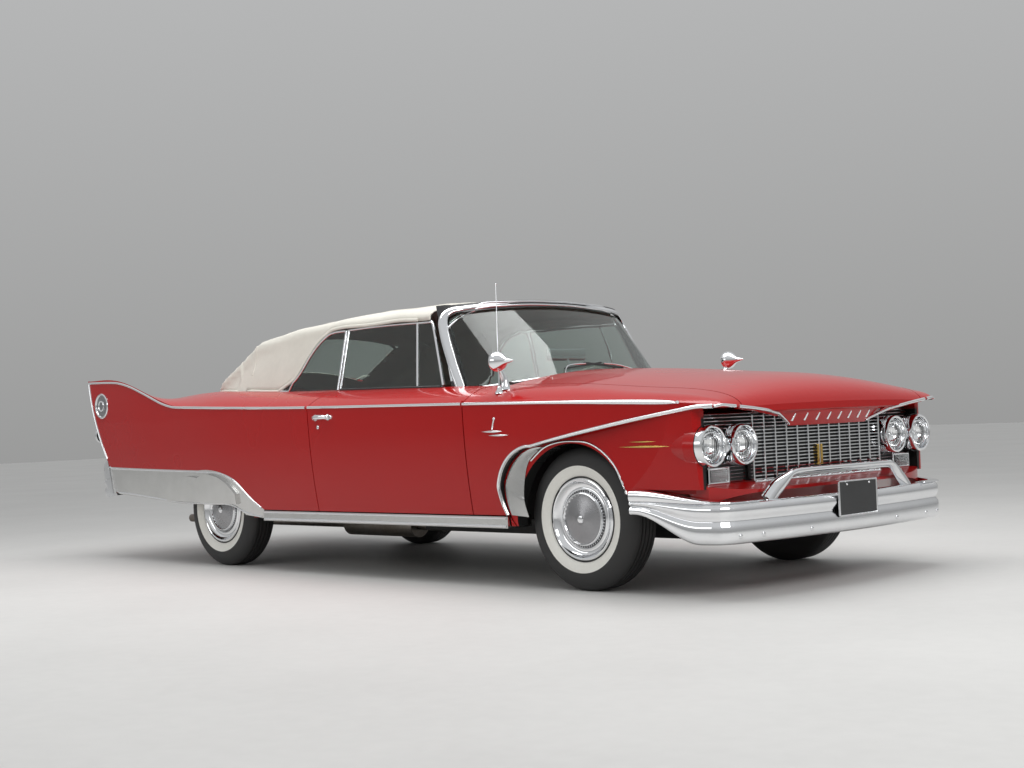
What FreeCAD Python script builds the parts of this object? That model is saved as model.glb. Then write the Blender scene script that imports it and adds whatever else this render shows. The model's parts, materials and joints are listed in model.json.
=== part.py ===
import FreeCAD, Part
import math
import os
import re

from FreeCAD import Placement, Rotation, Vector

# Full-size two-door convertible of about 1960, in millimetres.
# +X is forward, +Y is the car's left and +Z is up. The origin lies on the ground, midway between
# the bumpers and midway between the wheels.

doc = FreeCAD.newDocument("convertible")
sheet = doc.addObject("Spreadsheet::Sheet", "Sizes")

SIZES = {
    # stance
    "wheelbase": 2997, "front_axle_x": 1719.5, "front_half_track": 773.5, "rear_half_track": 757,
    "ground_gap": 215,
    # wheels
    "tyre_radius": 335, "tyre_width": 190, "rim_radius": 190, "rim_wall": 8, "hub_radius": 75,
    "hubcap_radius": 160, "bearing_radius": 32, "bearing_clearance": 0.05,
    # body shell
    "half_width": 998, "body_bottom": 300, "side_height": 590, "panel_gap": 6, "skin": 28,
    "side_wall": 62, "cabin_half_width": 782, "cabin_front_x": 1010, "cabin_rear_x": -1060,
    "well_rear_x": -1640, "well_floor": 760, "tail_bottom_x": -2425, "tail_top_x": -2657,
    "tail_middle_x": -2572, "tail_top_height": 1180, "tail_foot_height": 600, "part_gap": 0.3,
    # doors
    "door_front_x": 1066, "door_rear_x": -172, "door_bottom": 352, "door_taper": 30,
    "hinge_pin": 2.9, "hinge_axis_y": 986.5,
    # hood and trunk lid
    "hood_rear_x": 1205, "hood_half_width": 772, "hood_front_half_width": 716, "lip_height": 722,
    "trunk_front_x": -1800, "trunk_half_width": 640, "trunk_rear_x": -2500,
    "cowl_step": 34, "lid_slant": 14, "lid_gap": 8, "goose_reach": 100, "goose_thick": 14,
    "hood_axis_z": 925, "trunk_axis_z": 1012, "hood_arm_y": 600, "trunk_arm_y": 450,
    # sills and lower rear panels
    "sill_rear_x": -690, "sill_front_x": 1318, "sill_top": 346, "sill_bottom": 290,
    # arches
    "arch_radius": 356, "rear_arch_radius": 395, "rear_arch_room": 42, "arch_inner_y": 560,
    # glass
    "glass": 6, "frame_depth": 34,
    # soft top
    "fabric": 14,
    # bumpers
    "bumper_depth": 62, "bumper_bottom": 288, "bumper_height": 132, "bumper_front_x": 2659,
    "guard_height": 50, "hoop_radius": 17, "hoop_top": 532, "hoop_half_width": 392,
    "rear_bumper_x": -2659, "rear_bumper_bottom": 408, "rear_bumper_height": 120,
    "rear_guard_height": 110, "iron_height": 60,
    # lamps and grille
    "lamp_x": 2493, "lamp_height": 663, "outer_lamp_y": 834, "inner_lamp_y": 611,
    "lamp_radius": 89, "lamp_depth": 84, "grille_x": 2448, "grille_half_width": 505,
    "grille_bottom": 492, "grille_top": 728, "grille_bars": 15, "grille_posts": 12,
    "grille_bar": 5, "fascia_x": 2372, "fascia": 26,
    "lamp_pod": 7, "pod_front_x": 2462, "fender_foot_height": 456, "recess_depth": 11,
    "parking_y": 733, "parking_height": 529, "parking_width": 150, "parking_tall": 74,
    "tail_lamp_radius": 48,
    # running gear
    "rail_y": 420, "rail_width": 60, "rail_height": 80, "axle_tube_radius": 38,
    "differential_radius": 135, "leaf_y": 520, "leaf_front_x": -640, "leaf_rear_x": -1980,
    "kingpin_y": 700, "kingpin_radius": 14, "knuckle_height": 150,
    # engine
    "engine_front_x": 2050, "engine_rear_x": 1240, "engine_half_width": 270,
    "engine_bottom": 300, "engine_top": 800,
    # cabin
    "floor_height": 318, "floor_sheet": 18, "firewall_x": 1070,
    "seat_half_width": 690, "seat_height": 330, "seat_back": 330,
    "dash_front_x": 950, "dash_rear_x": 850, "dash_top": 950, "dash_half_width": 650,
    "steering_wheel_radius": 205, "steering_wheel_y": 380, "steering_tilt": 62,
    # small fittings
    "mirror_radius": 44, "exhaust_radius": 26, "muffler_radius": 68, "exhaust_z": 226,
    "exhaust_y": 300, "trunk_floor_z": 500,
}
for row, (alias, value) in enumerate(SIZES.items(), start=1):
    sheet.set("A%d" % row, alias)
    sheet.set("B%d" % row, str(value))
    sheet.setAlias("B%d" % row, alias)
doc.recompute()

ALIAS = re.compile(r"\b(%s)\b" % "|".join(sorted(SIZES, key=len, reverse=True)))
AXES = {"x": Vector(1, 0, 0), "y": Vector(0, 1, 0), "z": Vector(0, 0, 1)}
TURN = {"x": Rotation(AXES["y"], 90), "y": Rotation(AXES["x"], -90), "z": Rotation()}


def size(alias):
    """The number in one cell of the sheet."""
    return float(sheet.get(alias))


def cells(text):
    """Turn sheet words in an expression into references to the sheet."""
    return ALIAS.sub(r"Sizes.\1", str(text))


def bind(thing, **expressions):
    for name, text in expressions.items():
        thing.setExpression(name.replace("_", "."), cells(text))


def place(thing, x, y, z):
    for axis, text in zip("xyz", (x, y, z)):
        thing.setExpression("Placement.Base." + axis, cells(text))


def box(name, x, y, z):
    """A box between two planes on each axis, given as pairs of expressions."""
    solid = doc.addObject("Part::Box", name)
    bind(solid, Length="(%s) - (%s)" % (x[1], x[0]), Width="(%s) - (%s)" % (y[1], y[0]),
         Height="(%s) - (%s)" % (z[1], z[0]))
    place(solid, x[0], y[0], z[0])
    return solid


def rod(name, start, along, length, radius, tilt=None):
    """A cylinder from a start point along one axis, or along a tilted direction."""
    solid = doc.addObject("Part::Cylinder", name)
    bind(solid, Radius=radius, Height=length)
    solid.Placement = Placement(Vector(), tilt or TURN[along])
    place(solid, *start)
    return solid


def feature(name, shape):
    solid = doc.addObject("Part::Feature", name)
    solid.Shape = shape
    return solid


def join(name, *pieces):
    whole = doc.addObject("Part::MultiFuse", name)
    whole.Shapes = list(pieces)
    return whole


def overlap(name, *pieces):
    whole = doc.addObject("Part::MultiCommon", name)
    whole.Shapes = list(pieces)
    return whole


def cut(name, base, *tools):
    for number, tool in enumerate(tools[:-1]):
        step = doc.addObject("Part::Cut", "%s_step%d" % (name, number))
        step.Base = base
        step.Tool = tool
        base = step
    whole = doc.addObject("Part::Cut", name)
    whole.Base = base
    whole.Tool = tools[-1]
    return whole


def mirrored(name, source):
    """The same piece on the car's other side."""
    twin = doc.addObject("Part::Mirroring", name)
    twin.Source = source
    twin.Normal = AXES["y"]
    return twin


def moved(name, source, x, y, z):
    """A copy of a form, shifted."""
    twin = doc.addObject("Part::Feature", name)
    twin.Shape = source.Shape
    twin.Placement = Placement(Vector(x, y, z), Rotation())
    return twin


def chain(points):
    """One wire through a list of stops: a plain point ends a line, and a pair of points is an
    arc through the first to the second."""
    edges, here = [], points[0]
    for stop in points[1:]:
        if isinstance(stop, tuple):
            edges.append(Part.Arc(here, stop[0], stop[1]).toShape())
            here = stop[1]
        else:
            edges.append(Part.LineSegment(here, stop).toShape())
            here = stop
    return Part.Wire(edges)


def side_plate(outline, y_from, y_to):
    """A solid between two y planes from an outline of (x, z) stops, where four numbers are an
    arc through the first pair to the second."""
    stops = [Vector(p[0], y_from, p[1]) if len(p) == 2 else
             (Vector(p[0], y_from, p[1]), Vector(p[2], y_from, p[3])) for p in outline]
    return Part.Face(chain(stops)).extrude(Vector(0, y_to - y_from, 0))


def plan_plate(outline, z_from, z_to):
    """The same from an outline of (x, y) stops between two heights."""
    stops = [Vector(p[0], p[1], z_from) if len(p) == 2 else
             (Vector(p[0], p[1], z_from), Vector(p[2], p[3], z_from)) for p in outline]
    return Part.Face(chain(stops)).extrude(Vector(0, 0, z_to - z_from))


def front_plate(outline, x_from, x_to):
    """The same from an outline of (y, z) stops between two x planes."""
    stops = [Vector(x_from, p[0], p[1]) if len(p) == 2 else
             (Vector(x_from, p[0], p[1]), Vector(x_from, p[2], p[3])) for p in outline]
    return Part.Face(chain(stops)).extrude(Vector(x_to - x_from, 0, 0))


half = size("half_width")
bottom = size("body_bottom")
gap = size("panel_gap")
skin = size("skin")

# ---------------------------------------------------------------- outer form of the body
# station x | half widths as shares of half_width: sill, side, belt, deck edge
#           | heights: belt, deck edge, crown on the centre line | bulge of the shoulder
BODY_STATIONS = [
    (2580, .830, .858, .868, .815, 815, 824, 838, 1),
    (2560, .842, .872, .883, .820, 829, 846, 872, 3),
    (2500, .862, .897, .907, .825, 846, 872, 922, 5),
    (2380, .878, .912, .924, .828, 857, 893, 966, 7),
    (2100, .892, .928, .944, .822, 869, 918, 999, 9),
    (1700, .915, .952, .967, .812, 882, 956, 1031, 12),
    (1250, .928, .968, .984, .802, 893, 975, 1055, 14),
    (700, .935, .977, .996, .802, 904, 991, 1066, 14),
    (0, .938, .980, 1.00, .802, 917, 1006, 1072, 14),
    (-700, .935, .977, .998, .802, 934, 1023, 1080, 14),
    (-1250, .925, .967, .988, .795, 952, 1045, 1086, 12),
    (-1500, .918, .958, .979, .785, 966, 1046, 1082, 6),
    (-1750, .910, .950, .969, .770, 1022, 1034, 1074, -6),
    (-2000, .902, .942, .961, .758, 1099, 1016, 1060, -14),
    (-2250, .892, .932, .951, .750, 1157, 994, 1040, -18),
    (-2480, .880, .922, .942, .745, 1171, 968, 1012, -20),
    (-2670, .870, .914, .934, .742, 1174, 940, 980, -20),
]


def body_section(x, sill, side, belt, deck, belt_z, deck_z, crown_z, bulge):
    """One closed cross-section: floor line, side arcs, shoulder arcs and the crown arc."""
    def point(share, z):
        return Vector(x, share * half, z)

    def shoulder(sign):
        low, high = point(sign * belt, belt_z), point(sign * deck, deck_z)
        across = high - low
        normal = Vector(0, sign * across.z, abs(across.y)).normalize()
        return (low + high) / 2 + normal * bulge

    side_z = size("side_height")
    return chain([
        point(-sill, bottom), point(sill, bottom),
        (point(side, side_z), point(belt, belt_z)),
        (shoulder(1), point(deck, deck_z)),
        (Vector(x, 0, crown_z), point(-deck, deck_z)),
        (shoulder(-1), point(-belt, belt_z)),
        (point(-side, side_z), point(-sill, bottom)),
    ])


outer_form = feature("outer_form", Part.makeLoft([body_section(*row) for row in BODY_STATIONS], True))
inner_top = moved("inner_top", outer_form, -skin, 0, -skin)
inner_deck = moved("inner_deck", outer_form, 0, 0, -skin)
inner_right = moved("inner_right", outer_form, -skin, size("side_wall"), -skin)

# The brow line: the lower edge of the front fender's upper part, from the fender tip back over
# the wheel and down to the sill.
brow_cap = feature("brow_cap", side_plate([
    (2700, 832), (2575, 829), (2100, 780, 1520, 680), (1335, 600, 1279, 490),
    (1297, 400, 1373, bottom - 20), (900, bottom - 20), (900, 1300), (2700, 1300), (2700, 832)],
    -half - 50, half + 50))

# ---------------------------------------------------------------- cutting tools
right_side = box("right_side", (-3000, 3000), ("-half_width - 100", 0), (0, 2000))
tail_top, tail_foot = size("tail_top_height"), size("tail_foot_height")
tail_middle = (tail_top + tail_foot) / 2


def tail_curve(forward=0):
    """The tail's edge in side view, from the fin's tip to its foot, moved forward."""
    return [(size("tail_top_x") + forward, tail_top),
            (size("tail_middle_x") + forward, tail_middle, size("tail_bottom_x") + forward, tail_foot)]


tail_plane = feature("tail_plane", side_plate(tail_curve() + [
    (size("tail_bottom_x"), bottom - 50), (-3000, bottom - 50), (-3000, tail_top + 60),
    (size("tail_top_x") - 20, tail_top + 60), (size("tail_top_x"), tail_top)], -half - 50, half + 50))
cabin = box("cabin", ("cabin_rear_x", "cabin_front_x"), ("-cabin_half_width", "cabin_half_width"),
            ("body_bottom - 10", 1300))
inner_y = size("cabin_half_width")
well = feature("well", plan_plate([
    (size("cabin_rear_x") + 5, -inner_y), (-1180, -inner_y), (-1520, -600, size("well_rear_x"), 0),
    (-1520, 600, -1180, inner_y), (size("cabin_rear_x") + 5, inner_y),
    (size("cabin_rear_x") + 5, -inner_y)], size("well_floor"), 1300))
trunk_hollow = box("trunk_hollow", ("tail_bottom_x + 60", "cabin_rear_x - 30"),
                   ("-half_width + 130", "half_width - 130"), ("body_bottom - 10", "well_floor - 30"))
trunk_high = box("trunk_high", ("tail_bottom_x + 60", "well_rear_x - 40"),
                 ("-trunk_half_width - 40", "trunk_half_width + 40"), ("body_bottom - 10", 910))
rear_axle_x = "(front_axle_x - wheelbase)"
front_arch = rod("front_arch", ("front_axle_x", "-half_width - 60", "tyre_radius"), "y",
                 "half_width + 60 - arch_inner_y", "arch_radius")
rear_wheel_side = "rear_half_track + tyre_width / 2 + rear_arch_room"
rear_arch = rod("rear_arch", (rear_axle_x, "-(%s)" % rear_wheel_side, "tyre_radius"), "y",
                rear_wheel_side + " - arch_inner_y", "rear_arch_radius")

# ---------------------------------------------------------------- hood, trunk lid, deck
hood_side = feature("hood_side", plan_plate([
    (size("hood_rear_x"), -size("hood_half_width")), (2700, -size("hood_front_half_width")),
    (2700, size("hood_front_half_width")), (size("hood_rear_x"), size("hood_half_width")),
    (size("hood_rear_x"), -size("hood_half_width"))], 600, 1300))
under_lip = feature("under_lip", front_plate([
    (-1100, 200), (-1100, 838), (-858, 829), (-600, 803, -420, 772), (-335, 748, -300, size("lip_height")),
    (300, size("lip_height")), (335, 748, 420, 772), (600, 803, 858, 829), (1100, 838), (1100, 200),
    (-1100, 200)], 1900, 2700))
fender_lip = overlap("fender_lip", under_lip, box("lip_front", (2440, 2700), (-1200, 0), (0, 1000)))
nose_plane = feature("nose_plane", side_plate([
    (2573, 806), (2500, 714), (2500, 200), (2750, 200), (2750, 806), (2573, 806)],
    -half - 50, half + 50))
# The sunk panel on the hood's slanted front face, which carries the row of bars.
sunk = size("recess_depth")
letter_recess = overlap("letter_recess", feature("recess_front", front_plate([
    (-414, 800), (414, 800), (318, 742), (-318, 742), (-414, 800)], 2400, 2700)),
    feature("recess_side", side_plate([
        (2573 - sunk, 806), (2500 - sunk, 714), (2700, 714), (2700, 806), (2573 - sunk, 806)], -half, half)))
hood_panel = cut("hood_panel", overlap("hood_block", outer_form, hood_side), inner_top, under_lip, nose_plane,
                 letter_recess)

def trunk_region(name, margin, front_margin):
    """The lid's area, whose front face leans so that the lid lifts clear of the deck."""
    front, back = size("trunk_front_x") + front_margin, size("trunk_rear_x") - margin
    lean = size("lid_slant") / skin
    width = size("trunk_half_width") + margin
    return feature(name, side_plate([(back, 700), (front - lean * 375, 700), (front + lean * 225, 1300),
                                     (back, 1300), (back, 700)], -width, width))


trunk_panel = cut("trunk_panel", overlap("trunk_block", outer_form, trunk_region("trunk_plan", 0, 0)),
                  inner_deck, tail_plane)

# ---------------------------------------------------------------- front fender
fender_plan = box("fender_plan", ("door_front_x + panel_gap", 2700),
                  ("-half_width - 60", "-hood_front_half_width + 90"), ("body_bottom", 1300))
hood_gap = feature("hood_gap", plan_plate([
    (size("hood_rear_x") - gap, -size("hood_half_width") - gap), (2700, -size("hood_front_half_width") - gap),
    (2700, 0), (size("hood_rear_x") - gap, 0),
    (size("hood_rear_x") - gap, -size("hood_half_width") - gap)], 0, 1300))
cowl_gap = box("cowl_gap", (0, "hood_rear_x - panel_gap"), ("-cabin_half_width - 4", 0), (0, 1300))
fender_cap = cut("fender_cap", overlap("fender_block", outer_form, fender_plan, brow_cap),
                 inner_right, fender_lip, nose_plane)
foot_height, pod_front = size("fender_foot_height"), size("pod_front_x")
low_back, low_side, low_wall = 1285, half - 73, 67
fender_low = feature("fender_low", plan_plate([
    (low_back, -low_side), (1900, 17 - low_side, 2380, 3 - low_side),
    (2440, 12 - low_side, pod_front, 60 - low_side), (pod_front, 75 - low_side),
    (2372, low_wall + 8 - low_side), (1900, low_wall + 16 - low_side, low_back, low_wall - low_side),
    (low_back, -low_side)], foot_height, 826))
fender_foot = feature("fender_foot", plan_plate([
    (low_back, -low_side), (low_back + 115, 3 - low_side), (low_back + 115, low_wall - low_side),
    (low_back, low_wall - low_side), (low_back, -low_side)], bottom, foot_height + 2))
fender_skirt = overlap("fender_skirt", join("fender_lower", fender_low, fender_foot),
                       moved("fender_inside", outer_form, 0, 6, -6))
# The outer headlamp stands in a pod that swells out of the fender's side.
lamp_space = rod("lamp_space", ("fascia_x", "-outer_lamp_y", "lamp_height"), "x", 300, "lamp_radius")
pod_swell = doc.addObject("Part::Cone", "pod_swell")
bind(pod_swell, Radius1="lamp_radius - 24", Radius2="lamp_radius + lamp_pod", Height=140)
pod_swell.Placement = Placement(Vector(), TURN["x"])
place(pod_swell, "fascia_x - 110", "-outer_lamp_y", "lamp_height")
pod_ring = rod("pod_ring", ("fascia_x + 30", "-outer_lamp_y", "lamp_height"), "x",
               "pod_front_x - fascia_x - 30", "lamp_radius + lamp_pod")
sill_space = box("sill_space", ("sill_rear_x - panel_gap", "sill_front_x + panel_gap"),
                 ("-half_width - 60", 0), (0, "sill_top + panel_gap"))

# ---------------------------------------------------------------- bumpers
# Half of each bumper's plan curve, from the middle outwards: x, y, turn of the face (degrees)
FRONT_HALF = [
    (size("bumper_front_x"), 0, 0), (2596, 800, 10), (2566, 868, 45), (2500, 904, 83),
    (2300, 932, 83), (2100, 950, 83),
]
REAR_HALF = [
    (size("rear_bumper_x"), 0, 0), (-2604, 780, 11), (-2568, 868, 40), (-2505, 922, 62),
    (-2480, 934, 66), (-2456, 943, 70),
]


def bumper_region(curve, low, high, inset=0):
    """The plan area inside a bumper's curve, moved inwards by the inset: one arc across the
    front, and on each side an arc round the corner and an arc along the side."""
    sign = 1 if curve[0][0] > 0 else -1
    half_curve = [(x - sign * inset * math.cos(math.radians(turn)), y - inset * math.sin(math.radians(turn)))
                  for x, y, turn in curve]
    front, corner, bend, side, run, end = half_curve
    right = [(end[0], -end[1]), (run[0], -run[1], side[0], -side[1]),
             (bend[0], -bend[1], corner[0], -corner[1])]
    left = [(front[0], 0, corner[0], corner[1]), bend + side, run + end]
    return plan_plate(right + left + [(end[0], -end[1])], low, high)


def bumper_band(curve, low, high):
    """A bumper's bar between two heights. The cut behind it runs out past its ends."""
    open_end = curve[:-1] + [(curve[-1][0] - math.copysign(1, curve[-1][0]),) + curve[-1][1:]]
    return bumper_region(curve, low, high).cut(
        bumper_region(open_end, low - 1, high + 1, size("bumper_depth")))


bumper_low, bumper_high = size("bumper_bottom"), size("bumper_bottom") + size("bumper_height")
guard_top = bumper_high + size("guard_height")
# The front bar's lower edge rises towards its ends, and its upper edge steps up in the guards.
low_rise = side_plate([(2000, 200), (2000, 372), (2120, 364), (2400, bumper_low + 12, 2500, bumper_low),
                       (2500, 200), (2000, 200)], -1100, 1100)
front_bar = bumper_band(FRONT_HALF, bumper_low, bumper_high).cut(low_rise)
guard_slope = side_plate([(2000, bumper_high - 1), (2000, guard_top), (2150, guard_top),
                          (2560, bumper_high + 6), (2600, bumper_high - 1), (2000, bumper_high - 1)],
                         -1100, 1100)
front_guards = bumper_band(FRONT_HALF, bumper_high, guard_top).common(guard_slope)
hoop_y, hoop_z, hoop_x = size("hoop_half_width"), size("hoop_top"), 2588
foot_x, foot_y = 2580, hoop_y + 160
hoop_path = [Vector(foot_x, -foot_y, bumper_high - 20), Vector(hoop_x, -hoop_y, hoop_z),
             Vector(hoop_x, hoop_y, hoop_z), Vector(foot_x, foot_y, bumper_high - 20)]
hoop = []
for start, end in zip(hoop_path, hoop_path[1:]):
    hoop.append(Part.makeCylinder(size("hoop_radius"), start.distanceToPoint(end), start, end - start))
    hoop.append(Part.makeSphere(size("hoop_radius"), end))


def irons(from_x, to_x, low):
    """The pair of flat brackets that carry a bumper."""
    return [Part.makeBox(to_x - from_x, size("rail_width"), size("iron_height"), Vector(from_x, y, low))
            for y in (-size("rail_y"), size("rail_y") - size("rail_width"))]


front_irons = irons(size("fascia_x"), 2600, bumper_low + 12 - size("iron_height"))
front_bumper = feature("front_bumper", front_bar.multiFuse([front_guards] + hoop[:-1] + front_irons))
# The room round the bar runs on a little behind its ends.
front_room = FRONT_HALF[:-1] + [(FRONT_HALF[-1][0] - gap,) + FRONT_HALF[-1][1:]]
front_bumper_space = feature("front_bumper_space", bumper_region(
    front_room, bumper_low - 8, guard_top + gap, -gap).cut(
    bumper_region(front_room, bumper_low - 20, bumper_high + 200, size("bumper_depth") + gap)))

rear_low, rear_high = size("rear_bumper_bottom"), size("rear_bumper_bottom") + size("rear_bumper_height")
rear_bar = bumper_band(REAR_HALF, rear_low, rear_high)
rear_guard = bumper_band(REAR_HALF, rear_high, rear_high + size("rear_guard_height")).cut(
    Part.makeBox(900, 1500, 400, Vector(-2900, -750, 300)))
rear_bumper = feature("rear_bumper", rear_bar.multiFuse(
    [rear_guard] + irons(size("rear_bumper_x") + 40, size("tail_bottom_x"), rear_low + 30)))

# ---------------------------------------------------------------- front fender, whole
hinge_y = -size("hinge_axis_y")
hinge_x = size("door_front_x") + gap / 2
door_pin = feature("door_pin", Part.makeCylinder(size("hinge_pin"), 30, Vector(hinge_x, hinge_y, 882)).fuse(
    Part.makeBox(gap / 2 + 4, 5, 30, Vector(hinge_x, hinge_y, 882))))
pod = overlap("pod", join("pod_whole", pod_swell, pod_ring), box(
    "pod_side", ("fascia_x - 200", "pod_front_x"), ("-half_width", "-outer_lamp_y + 40"), (0, 1000)))
fender_whole = join("fender_whole", fender_cap, fender_skirt, pod)
fender_right = join("fender_right", cut("fender_trim", fender_whole, front_arch, hood_gap, cowl_gap,
                                        sill_space, front_bumper_space, lamp_space), door_pin)

# ---------------------------------------------------------------- windshield surface
# Half of the windshield's plan curve, from the middle outwards, at the base and at the header:
# base x, base y | header x, header y | turn of the surface at the base, at the header (degrees)
WINDSHIELD_HALF = [
    (1130, 0, 715, 0, 0, 0),
    (1104, 300, 701, 280, 11.3, 6.1),
    (1010, 590, 655, 550, 22.6, 12.2),
    (908, 704, 622, 628, 47.7, 31.0),
    (766, 772, 566, 690, 72.8, 49.8),
]
BASE_LEVEL, HEADER_LEVEL = 1000, 1452


def windshield_wire(z, offset):
    """The windshield's plan curve at one height, moved outwards by an offset."""
    rise = (z - BASE_LEVEL) / (HEADER_LEVEL - BASE_LEVEL)
    stops = []
    for base_x, base_y, top_x, top_y, base_turn, top_turn in WINDSHIELD_HALF:
        turn = math.radians(base_turn + rise * (top_turn - base_turn))
        stops.append(Vector(base_x + rise * (top_x - base_x) + offset * math.cos(turn),
                            base_y + rise * (top_y - base_y) + offset * math.sin(turn), z))
    right = [Vector(v.x, -v.y, v.z) for v in stops]
    return [right[4], (right[3], right[2]), (stops[0], stops[2]), (stops[3], stops[4])]


def windshield_band(outer, inner, low=BASE_LEVEL - 70, high=HEADER_LEVEL + 25):
    """A solid band along the windshield between two offsets."""
    wires = []
    for z in (low, high):
        front, back = windshield_wire(z, outer), windshield_wire(z, inner)
        back_stops = [back[3][1], (back[3][0], back[2][1]), (back[2][0], back[1][1]),
                      (back[1][0], back[0])]
        wires.append(chain(front + back_stops + [front[0]]))
    return Part.makeLoft(wires, True, True)


frame_outline = feature("frame_outline", front_plate([
    (-900, 900), (-780, 1340), (-735, 1402, -640, 1424), (0, 1458, 640, 1424),
    (735, 1402, 780, 1340), (900, 900), (-900, 900)], 400, 1400))
window_front = feature("window_front", front_plate([
    (-900, 960), (-700, 1330), (-672, 1362, -600, 1384), (0, 1418, 600, 1384),
    (672, 1362, 700, 1330), (900, 960), (-900, 960)], 400, 1400))
window_side = feature("window_side", side_plate([
    (850, 960), (620, 1382), (760, 1500), (1500, 1500), (1500, 960), (850, 960)], -900, 900))
window_tool = overlap("window_tool", window_front, window_side)
frame_depth = size("frame_depth")
windshield_frame = cut("windshield_frame", overlap(
    "frame_ring", feature("frame_band", windshield_band(4, 4 - frame_depth)), frame_outline),
    window_tool, moved("frame_seat", outer_form, 0, 0, -size("cowl_step")))
windshield = cut("windshield", overlap(
    "glass_sheet", feature("glass_band", windshield_band(-10, -10 - size("glass"))), window_tool),
    moved("glass_seat", outer_form, 0, 0, -size("cowl_step")))

# ---------------------------------------------------------------- cowl and A posts
cowl_plan = box("cowl_plan", (700, "hood_rear_x - panel_gap"),
                ("-cabin_half_width", "cabin_half_width"), (880, 1300))
inside_curve = windshield_wire(BASE_LEVEL, -95)
under_glass = feature("under_glass", Part.Face(chain(
    inside_curve + [Vector(300, inside_curve[3][1].y, BASE_LEVEL),
                    Vector(300, inside_curve[0].y, BASE_LEVEL), inside_curve[0]])).extrude(
                        Vector(0, 0, 400)).translated(Vector(0, 0, -200)))
cowl_form = moved("cowl_form", outer_form, 0, 0, -size("cowl_step"))
cowl_hollow = moved("cowl_hollow", outer_form, 0, 0, -size("cowl_step") - skin)
post = box("post", ("door_front_x - 160", "firewall_x + 60"),
           ("-cabin_half_width", "-cabin_half_width + 50"), ("floor_height", 960))
cowl_top = cut("cowl_top", overlap("cowl_block", cowl_form, cowl_plan), cowl_hollow, under_glass)


# Hidden hinges: a plate arm that dips below the fixed panel's edge, and a pin on a lug that the
# arm's eye turns on. Reach is signed: it points from the pin towards the moving panel.
EYE, PIN = 11, 6


def goose_arm(axis_x, axis_z, arm_y, reach, top):
    """The moving panel's arm: from its eye down, along and up to the panel's underside."""
    sign = 1 if reach > 0 else -1
    far, rise = abs(reach) + 46, top - axis_z
    outline = [(-EYE, 0), (-EYE, -14), (50, -128), (far + 9, -88), (far + 9, rise), (far - 9, rise),
               (far - 9, -68), (62, -110), (EYE, -4), (EYE, 0), (0, EYE, -EYE, 0)]
    stops = [tuple(axis_x + sign * v if n % 2 == 0 else axis_z + v for n, v in enumerate(stop))
             for stop in outline]
    plate = side_plate(stops, arm_y, arm_y + size("goose_thick"))
    bore = Part.makeCylinder(PIN + size("bearing_clearance"), 100,
                             Vector(axis_x, arm_y - 40, axis_z), AXES["y"])
    return plate.cut(bore)


def hinge_pin(axis_x, axis_z, arm_y, lug_from, lug_to):
    """The fixed pin with its lug, which stands beside the arm and reaches the body between two
    corners given as (x, z)."""
    beside = arm_y + size("goose_thick") + 1
    pin = Part.makeCylinder(PIN, size("goose_thick") + 14, Vector(axis_x, arm_y - 1, axis_z), AXES["y"])
    lug = Part.makeBox(lug_to[0] - lug_from[0], 12, lug_to[1] - lug_from[1],
                       Vector(lug_from[0], beside, lug_from[1]))
    return pin.fuse(lug)


hood_axis_x, hood_axis_z = size("hood_rear_x") - size("goose_reach"), size("hood_axis_z")
hood_arm_places = (-size("hood_arm_y"), size("hood_arm_y"))
hood_pins = [feature("hood_pin_%d" % n, hinge_pin(hood_axis_x, hood_axis_z, y,
                                                  (size("firewall_x") + 14, hood_axis_z - 9),
                                                  (hood_axis_x + 8, hood_axis_z + 9)))
             for n, y in enumerate(hood_arm_places)]
cowl = join("cowl", cowl_top, post, mirrored("post_left", post))

# ---------------------------------------------------------------- doors
door_plan = feature("door_plan", plan_plate([
    (size("door_front_x"), -half - 60), (size("door_front_x"), -inner_y - gap),
    (size("door_rear_x") + size("door_taper"), -inner_y - gap),
    (size("door_rear_x") - 8, -half - 60), (size("door_front_x"), -half - 60)],
    size("door_bottom"), 1300))
door_right = overlap("door_right", outer_form, door_plan)

# ---------------------------------------------------------------- sills
sill_right = box("sill_right", ("sill_rear_x", "sill_front_x"),
                 ("-half_width + 52", "-cabin_half_width - 3"), ("sill_bottom", "sill_top"))
sills = join("sills", sill_right, mirrored("sill_left", sill_right))

# ---------------------------------------------------------------- rear body
DECK_SEAM = 700
quarter_front = size("door_rear_x") - gap
quarter_plan = feature("quarter_plan", plan_plate([
    (quarter_front - 8, -half - 60), (quarter_front + size("door_taper"), -inner_y - gap),
    (quarter_front + size("door_taper"), -DECK_SEAM), (-2800, -DECK_SEAM), (-2800, -half - 60),
    (quarter_front - 8, -half - 60)], bottom, 1300))
# The bright lower panel's upper edge, from the tail to the sill.
lower_line = [(-2700, 612), (-2440, 604), (-1900, 590, -1330, 579), (-1120, 572, -1000, 545),
              (-930, 515, -860, 462), (-800, 420, -690, 352)]
lower_region = feature("lower_region", side_plate(
    lower_line + [(-690, 200), (-2700, 200), (-2700, 612)], -half - 50, -half + 120))
quarter_block = overlap("quarter_block", outer_form, quarter_plan)
under_tail = feature("under_tail", side_plate([
    (-2700, 440), (-2350, 431), (-1600, 395), (-1600, 200), (-2700, 200), (-2700, 440)], -half - 50, 0))
quarter_right = cut("quarter_right", quarter_block, cabin, well, trunk_hollow, trunk_high, rear_arch,
                    tail_plane, sill_space, lower_region, under_tail)
lower_edge = feature("lower_edge", side_plate([
    (-2600, 436), (-2350, 427), (-1960, 402, -1590, 374), (-1120, 374), (-1000, 364, -880, 318),
    (-700, 302), (-600, 302), (-600, 700), (-2700, 700), (-2600, 436)], -half - 50, -half + 119))
lower_panel = cut("lower_panel", overlap("lower_block", outer_form, lower_region, lower_edge),
                  tail_plane, rear_arch, box("lower_wall", (-2390, -700), ("-half_width + 92", 0), (0, 700)))
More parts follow.
